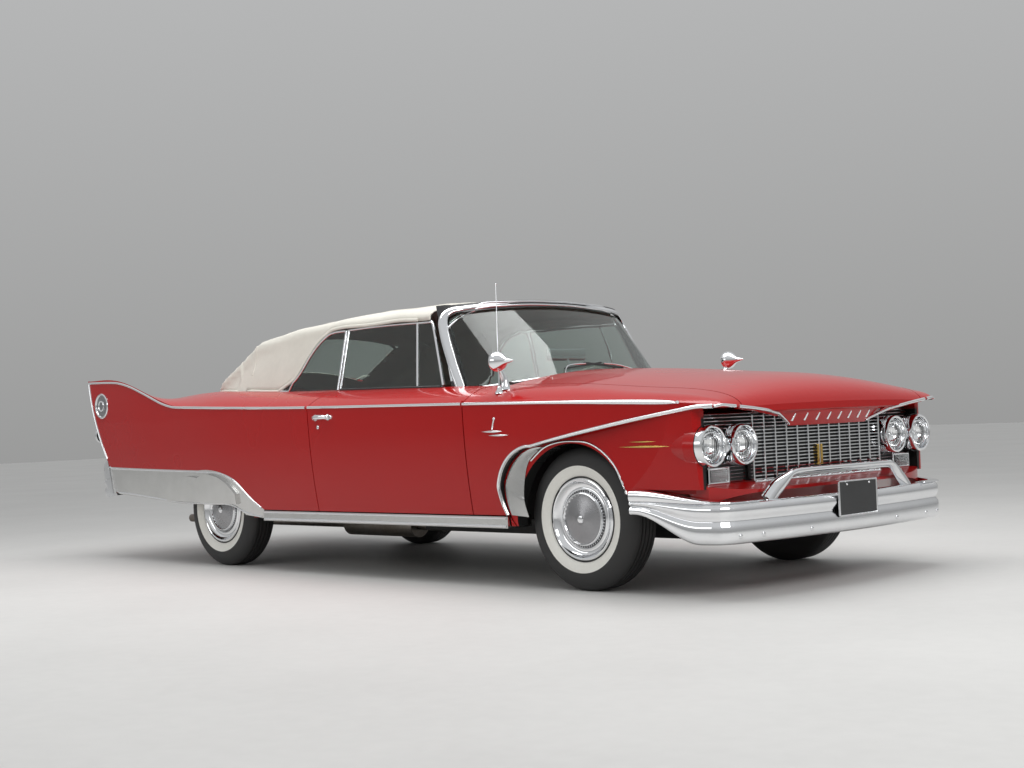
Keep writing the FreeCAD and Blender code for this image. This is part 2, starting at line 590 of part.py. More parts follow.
# A pressed arch stands proud of the skirt over the rear wheel.
arch_press = overlap("arch_press", feature("arch_plate", side_plate([
    (-1721, 392), (-1721, 460), (-1560, 526, -1330, 534), (-1080, 530, -940, 440), (-940, 380),
    (-1721, 392)], -half - 20, -half + 92)), moved("proud_form", outer_form, 0, -18, 0), lower_edge)
skirt_right = join("skirt_right", lower_panel, cut("press_trim", arch_press, rear_arch))
lower_panels = join("lower_rear_panels", skirt_right, mirrored("skirt_left", skirt_right))

deck_plan = box("deck_plan", (-2700, "cabin_rear_x - 30"), (-DECK_SEAM, DECK_SEAM), (700, 1300))
trunk_mouth = trunk_region("trunk_mouth", gap, size("lid_gap"))
deck_top = cut("deck_top", overlap("deck_block", outer_form, deck_plan), inner_deck, well, trunk_mouth,
               tail_plane)
tail_bottom_x, tail_floor = size("tail_bottom_x"), 420
tail_slab = feature("tail_slab", side_plate(tail_curve() + [
    (tail_bottom_x, tail_floor), (tail_bottom_x + skin, tail_floor), (tail_bottom_x + skin, tail_foot),
    (size("tail_middle_x") + skin, tail_middle, size("tail_top_x") + skin, tail_top),
    (size("tail_top_x"), tail_top)], -DECK_SEAM, DECK_SEAM))
tail_wall = cut("tail_wall", overlap("tail_block", outer_form, tail_slab), trunk_mouth)
trunk_axis_x = size("trunk_front_x") + size("goose_reach")
trunk_axis_z = size("trunk_axis_z")
trunk_arm_places = (-size("trunk_arm_y"), size("trunk_arm_y"))
trunk_pins = [feature("trunk_pin_%d" % n, hinge_pin(trunk_axis_x, trunk_axis_z, y,
                                                    (trunk_axis_x - 9, trunk_axis_z - 9),
                                                    (trunk_axis_x + 9, trunk_axis_z + 32)))
              for n, y in enumerate(trunk_arm_places)]
rear_deck = join("rear_deck", deck_top, tail_wall, *trunk_pins)
trunk_arms = [feature("trunk_arm_%d" % n, goose_arm(trunk_axis_x, trunk_axis_z, y, -size("goose_reach"),
                                                    trunk_axis_z + 28))
              for n, y in enumerate(trunk_arm_places)]
trunk_lid = join("trunk_lid", trunk_panel, *trunk_arms)
hood_arms = [feature("hood_arm_%d" % n, goose_arm(hood_axis_x, hood_axis_z, y, size("goose_reach"), 990))
             for n, y in enumerate(hood_arm_places)]
hood = join("hood", hood_panel, *hood_arms)

# ---------------------------------------------------------------- side glass
LEAN = 12.6
glass_foot = Vector(0, -inner_y - 16, 985)


def side_glass(name, outline):
    """A flat pane in a plane that leans inwards from the door's top."""
    stretch = 1 / math.cos(math.radians(LEAN))
    flat = [tuple(v if i % 2 == 0 else glass_foot.z + (v - glass_foot.z) * stretch
                  for i, v in enumerate(stop)) for stop in outline]
    pane = side_plate(flat, glass_foot.y, glass_foot.y + size("glass"))
    pane.rotate(glass_foot, AXES["x"], -LEAN)
    return feature(name, pane)


door_glass_right = cut("door_glass_right", side_glass("door_pane", [
    (740, 940), (728, 1000), (578, 1334), (566, 1344), (300, 1350), (-136, 1347), (-138, 940), (740, 940)]),
    door_right)
quarter_pane = cut("quarter_pane", side_glass("quarter_sheet", [
    (-154, 940), (-152, 1346), (-290, 1342, -392, 1292), (-470, 1215, -530, 1135), (-600, 1065, -715, 1024),
    (-735, 940), (-154, 940)]), quarter_right)
quarter_glass = join("quarter_glass", quarter_pane, mirrored("quarter_pane_left", quarter_pane))

# ---------------------------------------------------------------- soft top
# bow x | half width and height where the side meets the body | where the side starts to round
#       | where the rounding meets the roof | height on the centre line
BOWS = [
    (740, 800, 940, 724, 1312, 610, 1408, 1462),
    (300, 800, 940, 724, 1328, 610, 1426, 1482),
    (-200, 800, 940, 722, 1326, 606, 1424, 1482),
    (-650, 800, 940, 716, 1296, 590, 1398, 1458),
    (-1040, 796, 940, 700, 1240, 558, 1352, 1408),
    (-1240, 786, 940, 710, 1130, 530, 1240, 1318),
    (-1420, 748, 940, 706, 1052, 490, 1148, 1222),
    (-1620, 600, 940, 575, 1028, 370, 1068, 1108),
    (-1725, 300, 940, 285, 1018, 185, 1040, 1052),
]


def bow_section(row, inset):
    x, foot_y, foot_z, side_y, side_z, roof_y, roof_z, crown_z = row
    corner_y, corner_z = side_y * .98, side_z + .72 * (roof_z - side_z)
    x = x + 1.6 * inset if x < -1100 else x
    half_stops = [(foot_y - inset, foot_z - inset), (side_y - inset, side_z - .3 * inset),
                  (corner_y - inset * .8, corner_z - inset * .7), (roof_y, roof_z - inset)]
    left = [Vector(x, y, z) for y, z in half_stops]
    right = [Vector(x, -y, z) for y, z in half_stops]
    return chain([right[0], right[1], (right[2], right[3]), (Vector(x, 0, crown_z - inset), left[3]),
                  (left[2], left[1]), left[0], right[0]])


def top_form(name, inset):
    return feature(name, Part.makeLoft([bow_section(row, inset) for row in BOWS], True, True))


window_gap = feature("window_gap", side_plate([
    (-740, 900), (-728, 1018), (-604, 1076, -538, 1146), (-476, 1226, -398, 1304), (-292, 1352, -168, 1357),
    (300, 1360), (570, 1354), (900, 1354), (900, 900), (-740, 900)], -900, 900))
header_space = feature("header_space", plan_plate([
    (540, -900), (540, -712), (674, 0, 540, 712), (540, 900), (1400, 900), (1400, -900), (540, -900)],
    900, 1600))
soft_top = cut("soft_top", top_form("top_outer", 0), top_form("top_inner", size("fabric")), window_gap,
               header_space, moved("top_seat", outer_form, 0, 0, 0))

# ---------------------------------------------------------------- floor, firewall, bulkheads
quarter_left = mirrored("quarter_left", quarter_right)
wall_y = ("-cabin_half_width - 3", "cabin_half_width + 3")
arch_y = ("-arch_inner_y", "arch_inner_y")
under_floor = "floor_height - floor_sheet"
# The sheets meet with a hair's gap, so each stays one plain piece.
arch_front_x = "(front_axle_x - wheelbase + rear_arch_radius)"
floor_plate = box("floor_plate", (arch_front_x, "firewall_x - part_gap"), wall_y,
                  (under_floor, "floor_height"))
rear_floor = box("rear_floor", ("cabin_rear_x - 42 + part_gap", arch_front_x + " - part_gap"), arch_y,
                 (under_floor, "floor_height"))
firewall = box("firewall", ("firewall_x", "firewall_x + 14"),
               ("-cabin_half_width + 50", "cabin_half_width - 50"), (under_floor, 1000))
bulkhead = box("bulkhead", ("cabin_rear_x - 60", "cabin_rear_x - 42"), arch_y,
               (under_floor, "well_floor - 14 - part_gap"))
well_plate = box("well_plate", ("well_rear_x - 60", "cabin_rear_x - 42"),
                 ("-trunk_half_width", "trunk_half_width"), ("well_floor - 14", "well_floor"))
trunk_floor = box("trunk_floor", ("tail_bottom_x + skin", "cabin_rear_x - 60 - part_gap"), arch_y,
                  ("trunk_floor_z", "trunk_floor_z + 16"))
floor_pan = cut("floor_pan", join("floor_whole", cut("firewall_trim", firewall, cowl), floor_plate,
                                  rear_floor, bulkhead, well_plate, trunk_floor, *hood_pins),
                quarter_right, quarter_left)

# ---------------------------------------------------------------- fascia, grille, lamps
fascia_y = ("-half_width + 146", "half_width - 146")
fascia_block = box("fascia_block", ("fascia_x", "fascia_x + fascia"), fascia_y, (430, 800))
fascia_mouth = box("fascia_mouth", ("fascia_x - 20", "fascia_x + 60"),
                   ("-grille_half_width + 20", "grille_half_width - 20"),
                   ("grille_bottom + 16", "grille_top - 14"))
apron_top = size("grille_bottom")
apron = overlap("apron", feature("apron_side", side_plate([
    (size("fascia_x"), 400), (size("fascia_x"), apron_top), (size("grille_x") - 4, apron_top),
    (2536, 464), (2536, 450), (2440, 400), (size("fascia_x"), 400)], -half, half)),
    feature("apron_plan", plan_plate([
        (2300, 146 - half), (2460, 146 - half), (2510, -724, 2536, -500), (2536, 500),
        (2510, 724, 2460, half - 146), (2300, half - 146), (2300, 146 - half)], 300, 600)))
fender_left = mirrored("fender_left", fender_right)
nose_panel = cut("nose_panel", join("nose_block", fascia_block, apron), fascia_mouth, fender_right,
                 fender_left, front_bumper_space)

bar_pitch = (size("grille_top") - size("grille_bottom")) / size("grille_bars")
post_pitch = 2 * size("grille_half_width") / size("grille_posts")
bar, grille_x, grille_y = size("grille_bar"), size("grille_x") - 4, size("grille_half_width")
grille_parts = []
for number in range(int(size("grille_bars"))):
    z = size("grille_bottom") + (number + .5) * bar_pitch - bar / 2
    grille_parts.append(Part.makeBox(bar * 2, 2 * grille_y, bar, Vector(grille_x, -grille_y, z)))
for number in range(int(size("grille_posts")) + 1):
    y = -grille_y + number * post_pitch - bar / 2
    grille_parts.append(Part.makeBox(bar * 3, bar, size("grille_top") - size("grille_bottom"),
                                     Vector(grille_x, y, size("grille_bottom"))))
grille = feature("grille", grille_parts[0].multiFuse(grille_parts[1:]))

lamps = []
for name, y in (("outer", "outer_lamp_y"), ("inner", "inner_lamp_y")):
    for side, sign in (("right", "-"), ("left", "")):
        bezel = rod("%s_bezel_%s" % (name, side), ("fascia_x + fascia", sign + y, "lamp_height"), "x",
                    "lamp_x - fascia_x - fascia", "lamp_radius")
        bowl = doc.addObject("Part::Cone", "%s_bowl_%s" % (name, side))
        bind(bowl, Radius1="lamp_radius - 36", Radius2="lamp_radius - 9", Height="lamp_depth")
        bowl.Placement = Placement(Vector(), TURN["x"])
        place(bowl, "lamp_x - lamp_depth + 1", sign + y, "lamp_height")
        lamps.append(cut("%s_lamp_%s" % (name, side), bezel, bowl))
bridge_right = box("bridge_right", ("fascia_x + fascia", "lamp_x - 24"),
                   ("-outer_lamp_y + lamp_radius - 8", "-inner_lamp_y - lamp_radius + 8"),
                   ("lamp_height - 30", "lamp_height + 30"))
headlamps = join("headlamps", *lamps, bridge_right, mirrored("bridge_left", bridge_right))
parking_right = box("parking_right", ("fascia_x + fascia", "grille_x - 10"),
                    ("-parking_y - parking_width / 2", "-parking_y + parking_width / 2"),
                    ("parking_height - parking_tall / 2", "parking_height + parking_tall / 2"))
parking_lamps = join("parking_lamps", parking_right, mirrored("parking_left", parking_right))

# ---------------------------------------------------------------- tail lamps
tail_right = rod("tail_right", (-2640, -850, 812), "x", 120, "tail_lamp_radius")
tail_lamps = join("tail_lamps", cut("tail_lamp_right", tail_right, quarter_right),
                  mirrored("tail_lamp_left", cut("tail_lamp_copy", tail_right, quarter_right)))

# ---------------------------------------------------------------- wheels
def spun(profile, half_width):
    """A ring about Y from a profile of radii and places across it, as shares of half its width."""
    outline = Part.makePolygon([Vector(0, share * half_width, r) for r, share in profile])
    return Part.Face(outline).revolve(Vector(), AXES["y"], 360)


def wheel(tag, x, y):
    """Tyre and rim for one corner. The rim's dished side points outboard."""
    outboard = -1 if y < 0 else 1
    tyre_r, rim_r, half_w = size("tyre_radius"), size("rim_radius"), size("tyre_width") / 2
    crown, shoulder, side, bead = tyre_r * .99, tyre_r * .955, tyre_r * .86, rim_r + 14
    tyre = [(rim_r, -.62), (bead, -.80), (tyre_r * .75, -1), (side, -.99), (shoulder, -.86),
            (crown, -.68), (tyre_r, -.5), (tyre_r, .5), (crown, .68), (shoulder, .86),
            (side, .99), (tyre_r * .75, 1), (bead, .80), (rim_r, .62), (rim_r, -.62)]
    seat_r, bore, hub_r = rim_r - .6, size("bearing_radius"), size("hub_radius")
    drop, cap = seat_r - size("rim_wall"), size("hubcap_radius")
    rim = [(bore, -.10), (hub_r, -.10), (hub_r, .28), (seat_r - 40, .42), (drop - 14, .30),
           (drop - 14, -.60), (drop, -.72), (drop, -.80), (seat_r + 10, -.80), (seat_r, -.66),
           (seat_r, .66), (seat_r + 10, .80), (drop, .80), (drop, .62), (cap, .62), (cap - 40, .80),
           (hub_r, .92), (0.001, .95), (0.001, .80), (bore, .80), (bore, -.10)]
    pieces = []
    for name, profile in (("tyre", tyre), ("rim", rim)):
        piece = feature("%s_%s" % (name, tag), spun(profile, outboard * half_w))
        piece.Placement = Placement(Vector(x, y, tyre_r), Rotation())
        pieces.append(piece)
    return pieces


front_x, rear_x = size("front_axle_x"), size("front_axle_x") - size("wheelbase")
front_y, rear_y = size("front_half_track"), size("rear_half_track")
wheels = []
for tag, x, y in (("front_right", front_x, -front_y), ("front_left", front_x, front_y),
                  ("rear_right", rear_x, -rear_y), ("rear_left", rear_x, rear_y)):
    wheels += wheel(tag, x, y)

# ---------------------------------------------------------------- axles and steering
bearing_fit = "bearing_radius - bearing_clearance"
king_y = "-kingpin_y + 14"
king_low, king_high = "tyre_radius - knuckle_height / 2", "tyre_radius + knuckle_height / 2"
spindle = rod("spindle", ("front_axle_x", "-kingpin_y - 134", "tyre_radius"), "y", 134, bearing_fit)
upright = box("upright", ("front_axle_x - 28", "front_axle_x + 28"),
              ("-kingpin_y - 14", "-kingpin_y + 40"), (king_low, king_high))
kingpin_hole = rod("kingpin_hole", ("front_axle_x", king_y, 0), "z", 1000, "kingpin_radius")
knuckle_right = cut("knuckle_right", join("knuckle_block", spindle, upright), kingpin_hole)
kingpin = rod("kingpin", ("front_axle_x", king_y, king_low + " - 24"), "z", "knuckle_height + 48",
              "kingpin_radius - bearing_clearance")
arm_x, arm_y = ("front_axle_x - 22", "front_axle_x + 22"), ("-kingpin_y - 4", "-rail_y")
lower_arm = box("lower_arm", arm_x, arm_y, (king_low + " - 26", king_low + " - 4"))
upper_arm = box("upper_arm", arm_x, arm_y, (king_high + " + 4", king_high + " + 26"))
rail_side, rail_top = ("-rail_y", "-rail_y + rail_width"), "ground_gap + rail_height"
rail = box("rail", ("cabin_front_x - 900", "fascia_x"), rail_side, ("ground_gap", rail_top))
tower = box("tower", ("front_axle_x - 90", "front_axle_x + 90"), rail_side, (rail_top, 470))
engine_mount = box("engine_mount", ("front_axle_x - 40", "front_axle_x + 40"),
                   ("-rail_y + rail_width", "-engine_half_width"), (330, 390))
body_mounts = [box("body_mount_%s" % name, (x, x + " + 80"), rail_side, (rail_top, under_floor))
               for name, x in (("rear", "cabin_front_x - 880"), ("front", "firewall_x - 120"))]
side_frame = join("side_frame", kingpin, lower_arm, upper_arm, rail, tower, engine_mount, *body_mounts)
crossmember = box("crossmember", ("front_axle_x - 70", "front_axle_x + 70"), ("-rail_y", "rail_y"),
                  ("ground_gap", "ground_gap + 60"))
chassis = join("chassis_frame", side_frame, mirrored("side_frame_left", side_frame), crossmember)

axle_tube = rod("axle_tube", (rear_axle_x, "-rear_half_track + 30", "tyre_radius"), "y",
                "2 * rear_half_track - 60", "axle_tube_radius")
stub = rod("stub", (rear_axle_x, "-rear_half_track - 40", "tyre_radius"), "y",
           "2 * rear_half_track + 80", bearing_fit)
differential = doc.addObject("Part::Sphere", "differential")
bind(differential, Radius="differential_radius")
place(differential, rear_axle_x, 0, "tyre_radius")
leaf_top = "tyre_radius - axle_tube_radius + 2"
leaf_y = ("-leaf_y - 30", "-leaf_y + 30")
leaf = box("leaf", ("leaf_rear_x", "leaf_front_x"), leaf_y, (leaf_top + " - 28", leaf_top))
leaf_eye = box("leaf_eye", ("leaf_front_x - 60", "leaf_front_x"), leaf_y, (leaf_top, under_floor))
shackle = box("shackle", ("leaf_rear_x", "leaf_rear_x + 40"), leaf_y, (leaf_top, "trunk_floor_z"))
spring = join("spring", leaf, leaf_eye, shackle)
rear_axle = join("rear_axle", axle_tube, stub, differential, spring, mirrored("spring_left", spring))

engine = box("engine", ("engine_rear_x", "engine_front_x"), ("-engine_half_width", "engine_half_width"),
             ("engine_bottom", "engine_top"))

# ---------------------------------------------------------------- cabin
def bench(name, base_x, back_x, half_width):
    """A bench seat: a base and a back."""
    across = ("-(%s)" % half_width, half_width)
    base = box(name + "_base", base_x, across, ("floor_height", "floor_height + seat_height"))
    back = box(name + "_back", back_x, across,
               ("floor_height + 200", "floor_height + seat_height + seat_back"))
    return join(name, base, back)


front_seat = bench("front_seat", (60, 560), (-60, 90), "seat_half_width")
rear_seat = bench("rear_seat", (-840, -380), (-1000, -830), "seat_half_width - 60")
dash_block = box("dash_block", ("dash_rear_x", "dash_front_x"), ("-dash_half_width", "dash_half_width"),
                 (740, "dash_top"))
wheel_radius = size("steering_wheel_radius")
hub = Vector(600, size("steering_wheel_y"), 900)
column_way = Rotation(AXES["y"], 180 - size("steering_tilt")).multVec(AXES["z"])
column_length = (size("firewall_x") - hub.x) / column_way.x
rim_ring = Part.makeTorus(wheel_radius, 11, hub, column_way)
spoke = Part.makeCylinder(9, 2 * wheel_radius - 10, hub - AXES["y"] * (wheel_radius - 5), AXES["y"])
before_firewall = Part.makeBox(2000, 2000, 2000, Vector(size("firewall_x") - 2000, -500, 0))
column = Part.makeCylinder(26, column_length + 60, hub - column_way * 10, column_way).common(before_firewall)
dashboard = cut("dashboard", dash_block, feature("column_hole", column), cowl)
steering_wheel = feature("steering_wheel", rim_ring.multiFuse([spoke, column]))

# ---------------------------------------------------------------- fittings
def mirror_shape(sign):
    foot = Vector(1262, sign * 868, 930)
    head = Vector(1238, sign * 904, 1093)
    stem = Part.makeCone(26, 9, (head - foot).Length, foot, head - foot)
    cup = Part.makeSphere(size("mirror_radius"), head)
    cup = cup.common(Part.makeBox(200, 200, 200, Vector(head.x - 12, head.y - 100, head.z - 100)))
    nose = Part.makeCone(size("mirror_radius") * .5, 6, 85, head + Vector(28, 0, 0), AXES["x"])
    return stem.multiFuse([cup, nose])


doc.recompute()
mirrors = feature("fender_mirrors", Part.makeCompound([
    mirror_shape(-1).cut(fender_right.Shape), mirror_shape(1).cut(fender_left.Shape)]))
pipe_start = Vector(-2450, -size("exhaust_y"), size("exhaust_z"))
hanger_top = size("floor_height") - size("floor_sheet")
pipe = Part.makeCylinder(size("exhaust_radius"), 3900, pipe_start, AXES["x"])
muffler = Part.makeCylinder(size("muffler_radius"), 620, pipe_start + AXES["x"] * 1750, AXES["x"])
hanger = Part.makeBox(20, 30, hanger_top - size("exhaust_z"), pipe_start + Vector(2500, -15, 0))
exhaust = feature("exhaust", pipe.multiFuse([muffler, hanger]))
fuel_tank = box("fuel_tank", (-2300, -1700), (-200, 380), ("trunk_floor_z - 200", "trunk_floor_z"))

door_left = mirrored("door_left", door_right)
SUBPARTS = {
    "floor_pan": floor_pan, "chassis_frame": chassis, "cowl": cowl, "fender_right": fender_right,
    "fender_left": fender_left, "quarter_right": quarter_right,
    "quarter_left": quarter_left, "rear_deck": rear_deck, "sills": sills,
    "lower_rear_panels": lower_panels, "nose_panel": nose_panel, "grille": grille,
    "headlamps": headlamps, "parking_lamps": parking_lamps, "front_bumper": front_bumper,
    "rear_bumper": rear_bumper, "tail_lamps": tail_lamps, "windshield_frame": windshield_frame,
    "windshield": windshield, "soft_top": soft_top, "quarter_glass": quarter_glass,
    "front_seat": front_seat, "rear_seat": rear_seat, "dashboard": dashboard,
    "steering_wheel": steering_wheel, "engine": engine, "rear_axle": rear_axle,
    "fender_mirrors": mirrors, "exhaust": exhaust, "fuel_tank": fuel_tank, "hood": hood,
    "trunk_lid": trunk_lid, "door_right": door_right, "door_left": door_left,
    "door_glass_right": door_glass_right,
    "door_glass_left": mirrored("door_glass_left", door_glass_right),
    "knuckle_right": knuckle_right, "knuckle_left": mirrored("knuckle_left", knuckle_right),
}
for piece in wheels:
    SUBPARTS[piece.Name] = piece
doc.recompute()
for node, piece in SUBPARTS.items():
    piece.Label = node

faults = [thing.Name for thing in doc.Objects if {"Invalid", "Error"} & set(thing.State)]
faults += [node for node, piece in SUBPARTS.items() if piece.Shape.isNull() or not piece.Shape.isValid()]
if faults:
    raise RuntimeError("failed: " + ", ".join(faults))
os.makedirs("parts", exist_ok=True)
for node, piece in SUBPARTS.items():
    piece.Shape.exportStep("parts/%s.step" % node)
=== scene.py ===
import json
from math import cos, hypot, pi, radians, sin, sqrt

import bmesh
import bpy
from bpy.props import FloatProperty, FloatVectorProperty, IntProperty, PointerProperty
from mathutils import Matrix, Vector
from mathutils.bvhtree import BVHTree


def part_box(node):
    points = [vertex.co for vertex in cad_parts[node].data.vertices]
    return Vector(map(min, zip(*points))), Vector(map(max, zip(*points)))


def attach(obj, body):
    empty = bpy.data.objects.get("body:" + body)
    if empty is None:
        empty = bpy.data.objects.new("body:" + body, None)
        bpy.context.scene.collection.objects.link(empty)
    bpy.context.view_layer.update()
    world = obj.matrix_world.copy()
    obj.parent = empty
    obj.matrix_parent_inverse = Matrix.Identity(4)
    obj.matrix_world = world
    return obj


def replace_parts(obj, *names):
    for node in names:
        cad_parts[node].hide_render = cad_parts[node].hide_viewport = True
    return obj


bl_info = {
    "name": "Tail-fin convertible",
    "version": (1, 0),
    "blender": (4, 5, 0),
    "location": "View3D > Sidebar > Convertible",
    "description": "Finishes and trims for a full-size two-door convertible of about 1960",
    "category": "Object",
}

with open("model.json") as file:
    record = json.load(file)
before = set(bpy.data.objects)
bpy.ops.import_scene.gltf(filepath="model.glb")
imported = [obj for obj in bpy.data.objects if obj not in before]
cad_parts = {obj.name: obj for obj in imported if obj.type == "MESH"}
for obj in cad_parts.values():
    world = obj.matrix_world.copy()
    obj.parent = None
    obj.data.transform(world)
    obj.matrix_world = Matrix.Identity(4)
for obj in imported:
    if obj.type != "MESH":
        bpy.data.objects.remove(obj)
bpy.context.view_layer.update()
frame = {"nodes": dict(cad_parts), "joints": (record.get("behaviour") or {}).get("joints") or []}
NODES = frame["nodes"]
JOINTS = {joint["name"]: Vector(joint["pos_m"]) for joint in frame["joints"]}
FRONT_AXLE, REAR_AXLE = JOINTS["wheel_front_right_roll"], JOINTS["wheel_rear_right_roll"]
TYRE_RADIUS = FRONT_AXLE.z
UP = Vector((0, 0, 1))
RIGHT, LEFT = -1, 1
SIDES = (("right", RIGHT), ("left", LEFT))


# ---- shader node groups

class Nodes:
    """A short way to add and join shader nodes in one tree."""

    def __init__(self, tree):
        self.tree = tree

    def add(self, kind, inputs=None, **settings):
        node = self.tree.nodes.new(kind)
        for name, value in settings.items():
            setattr(node, name, value)
        for name, value in (inputs or {}).items():
            if isinstance(value, bpy.types.NodeSocket):
                self.tree.links.new(value, node.inputs[name])
            else:
                node.inputs[name].default_value = value
        return node

    def noise(self, scale, detail, rough, vector):
        return self.add("ShaderNodeTexNoise", {"Scale": scale, "Detail": detail, "Roughness": rough,
                                               "Vector": vector}).outputs["Fac"]

    def spread(self, value, low, high, to_low=0.0, to_high=1.0):
        """Stretch a band of values to another band."""
        return self.add("ShaderNodeMapRange", {"Value": value, "From Min": low, "From Max": high,
                                               "To Min": to_low, "To Max": to_high}).outputs["Result"]

    def object_place(self):
        return self.add("ShaderNodeTexCoord").outputs["Object"]

    def axes(self, vector):
        return self.add("ShaderNodeSeparateXYZ", {"Vector": vector}).outputs

    def maths(self, operation, a, b=0.0):
        return self.add("ShaderNodeMath", {0: a, 1: b}, operation=operation).outputs["Value"]

    def mix_colour(self, fac, a, b):
        return self.add("ShaderNodeMix", {"Factor": fac, 6: a, 7: b}, data_type="RGBA").outputs[2]


def shader_group(name, inputs, outputs):
    """An empty node group with named sockets, and its maker's helpers."""
    tree = bpy.data.node_groups.new(name, "ShaderNodeTree")
    for label, default in inputs.items():
        socket = tree.interface.new_socket(label, in_out="INPUT", socket_type="NodeSocketFloat")
        socket.default_value = default
    for label in outputs:
        tree.interface.new_socket(label, in_out="OUTPUT", socket_type="NodeSocketFloat")
    return tree, Nodes(tree), tree.nodes.new("NodeGroupInput"), tree.nodes.new("NodeGroupOutput")


def group_cloudy():
    """Slow and fine variation of one surface, as a mask."""
    tree, make, given, result = shader_group("cloudy", {"Scale": 4, "Fine": 60}, ["Mask"])
    place = make.object_place()
    slow = make.noise(given.outputs["Scale"], 4, .55, place)
    fine = make.noise(given.outputs["Fine"], 2, .5, place)
    mixed = make.maths("ADD", make.maths("MULTIPLY", slow, .7), make.maths("MULTIPLY", fine, .3))
    tree.links.new(make.spread(mixed, .3, .7), result.inputs["Mask"])
    return tree


def group_grain():
    """Leather or moulded-plastic grain, as a height."""
    tree, make, given, result = shader_group("grain", {"Scale": 400}, ["Height"])
    place = make.object_place()
    cells = make.add("ShaderNodeTexVoronoi", {"Vector": place, "Scale": given.outputs["Scale"]})
    soft = make.noise(make.maths("MULTIPLY", given.outputs["Scale"], .4), 3, .5, place)
    tree.links.new(make.maths("ADD", cells.outputs["Distance"], soft), result.inputs["Height"])
    return tree


def group_weave():
    """Canvas: crossing threads, as a height."""
    tree, make, given, result = shader_group("weave", {"Threads": 900}, ["Height"])
    place = make.object_place()
    parts = make.axes(place)
    waves = []
    for axis in ("X", "Y", "Z"):
        waves.append(make.maths("SINE", make.maths("MULTIPLY", parts[axis], given.outputs["Threads"])))
    crossed = make.maths("ADD", make.maths("MULTIPLY", waves[0], waves[1]),
                         make.maths("MULTIPLY", waves[0], waves[2]))
    tree.links.new(crossed, result.inputs["Height"])
    return tree


GROUPS = {}


def grouped(make, name, **values):
    """Place a shared group in a material with its own values."""
    if name not in GROUPS:
        GROUPS[name] = {"cloudy": group_cloudy, "grain": group_grain, "weave": group_weave}[name]()
    node = make.add("ShaderNodeGroup")
    node.node_tree = GROUPS[name]
    for label, value in values.items():
        node.inputs[label.replace("_", " ")].default_value = value
    return node.outputs[0]


# ---- materials

MATERIALS = {}


def new_material(name, **sockets):
    """A Principled material with its plain values set: helpers for its nodes, and its shader."""
    material = bpy.data.materials.new(name)
    material.use_nodes = True
    make = Nodes(material.node_tree)
    shader = material.node_tree.nodes["Principled BSDF"]
    for label, value in sockets.items():
        shader.inputs[label.replace("_", " ")].default_value = value
    MATERIALS[name] = material
    return make, shader


def link(make, value, shader, label):
    make.tree.links.new(value, shader.inputs[label])


def bumped(make, height, shader, strength, distance=.001):
    node = make.add("ShaderNodeBump", {"Height": height, "Strength": strength, "Distance": distance})
    link(make, node.outputs["Normal"], shader, "Normal")


def plain_finish(name, colour, other, rough, **sockets):
    """A finish whose colour and gloss wander a little: two colours and two roughness values."""
    slow, fine = sockets.pop("cloud", (5, 70))
    make, shader = new_material(name, **sockets)
    mask = grouped(make, "cloudy", Scale=slow, Fine=fine)
    link(make, make.mix_colour(mask, (*colour, 1), (*other, 1)), shader, "Base Color")
    link(make, make.spread(mask, 0, 1, *rough), shader, "Roughness")
    return make, shader


def darker(colour, share):
    return tuple(part * share for part in colour)


# finish: its two colours, its two roughness values and how metallic it is
METALS = {
    "chrome": ((.86, .87, .88), (.8, .81, .83), (.035, .08), 1),
    "aluminium": ((.74, .74, .74), (.66, .66, .66), (.28, .38), 1),
    "gold plate": ((.72, .5, .16), (.62, .42, .12), (.18, .28), 1),
    "grey steel": ((.36, .36, .37), (.3, .3, .31), (.24, .32), .9),
    "dark steel": ((.1, .1, .105), (.07, .07, .072), (.22, .34), .8),
    "cast iron": ((.1, .1, .1), (.15, .14, .13), (.5, .7), .6),
    "exhaust steel": ((.28, .26, .24), (.2, .17, .14), (.35, .55), 1),
    "lamp reflector": ((.92, .92, .93), (.84, .85, .86), (.05, .1), 1),
}
# finish: its two colours and its two roughness values
COATINGS = {
    "black enamel": ((.012, .012, .013), (.02, .02, .021), (.25, .4)),
    "underseal": ((.018, .018, .019), (.032, .031, .03), (.6, .85)),
    "rubber seal": ((.014, .014, .015), (.022, .022, .022), (.45, .6)),
    "plate enamel": ((.022, .023, .024), (.035, .036, .037), (.3, .45)),
    "engine paint": ((.42, .05, .02), (.33, .04, .018), (.35, .5)),
    "dial face": ((.02, .022, .026), (.04, .043, .05), (.3, .4)),
}
# finish: the same, then the node group of its bump with the group's value, and the bump's strength
TEXTURED = {
    "tyre rubber": ((.018, .018, .019), (.028, .027, .026), (.5, .68), "grain", {"Scale": 300}, .15),
    "white band": ((.8, .79, .74), (.72, .71, .66), (.42, .55), "grain", {"Scale": 260}, .06),
    "white vinyl": ((.72, .7, .64), (.64, .61, .55), (.4, .55), "grain", {"Scale": 420}, .18),
}
WEAVE_DEPTH = .0006
LACQUER = {"Coat_Weight": .6, "Coat_Roughness": .02, "Coat_IOR": 1.45, "Specular_IOR_Level": .1}
GRILLE_SHADOW_Z = .495    # painted shadow: the nose panel is painted black above this height, behind the lamps and the grille, where shade falls
WING_SHADOW_Z = .79       # painted shade: below this height the front fenders' inner faces are painted black, for the shade round the wheels
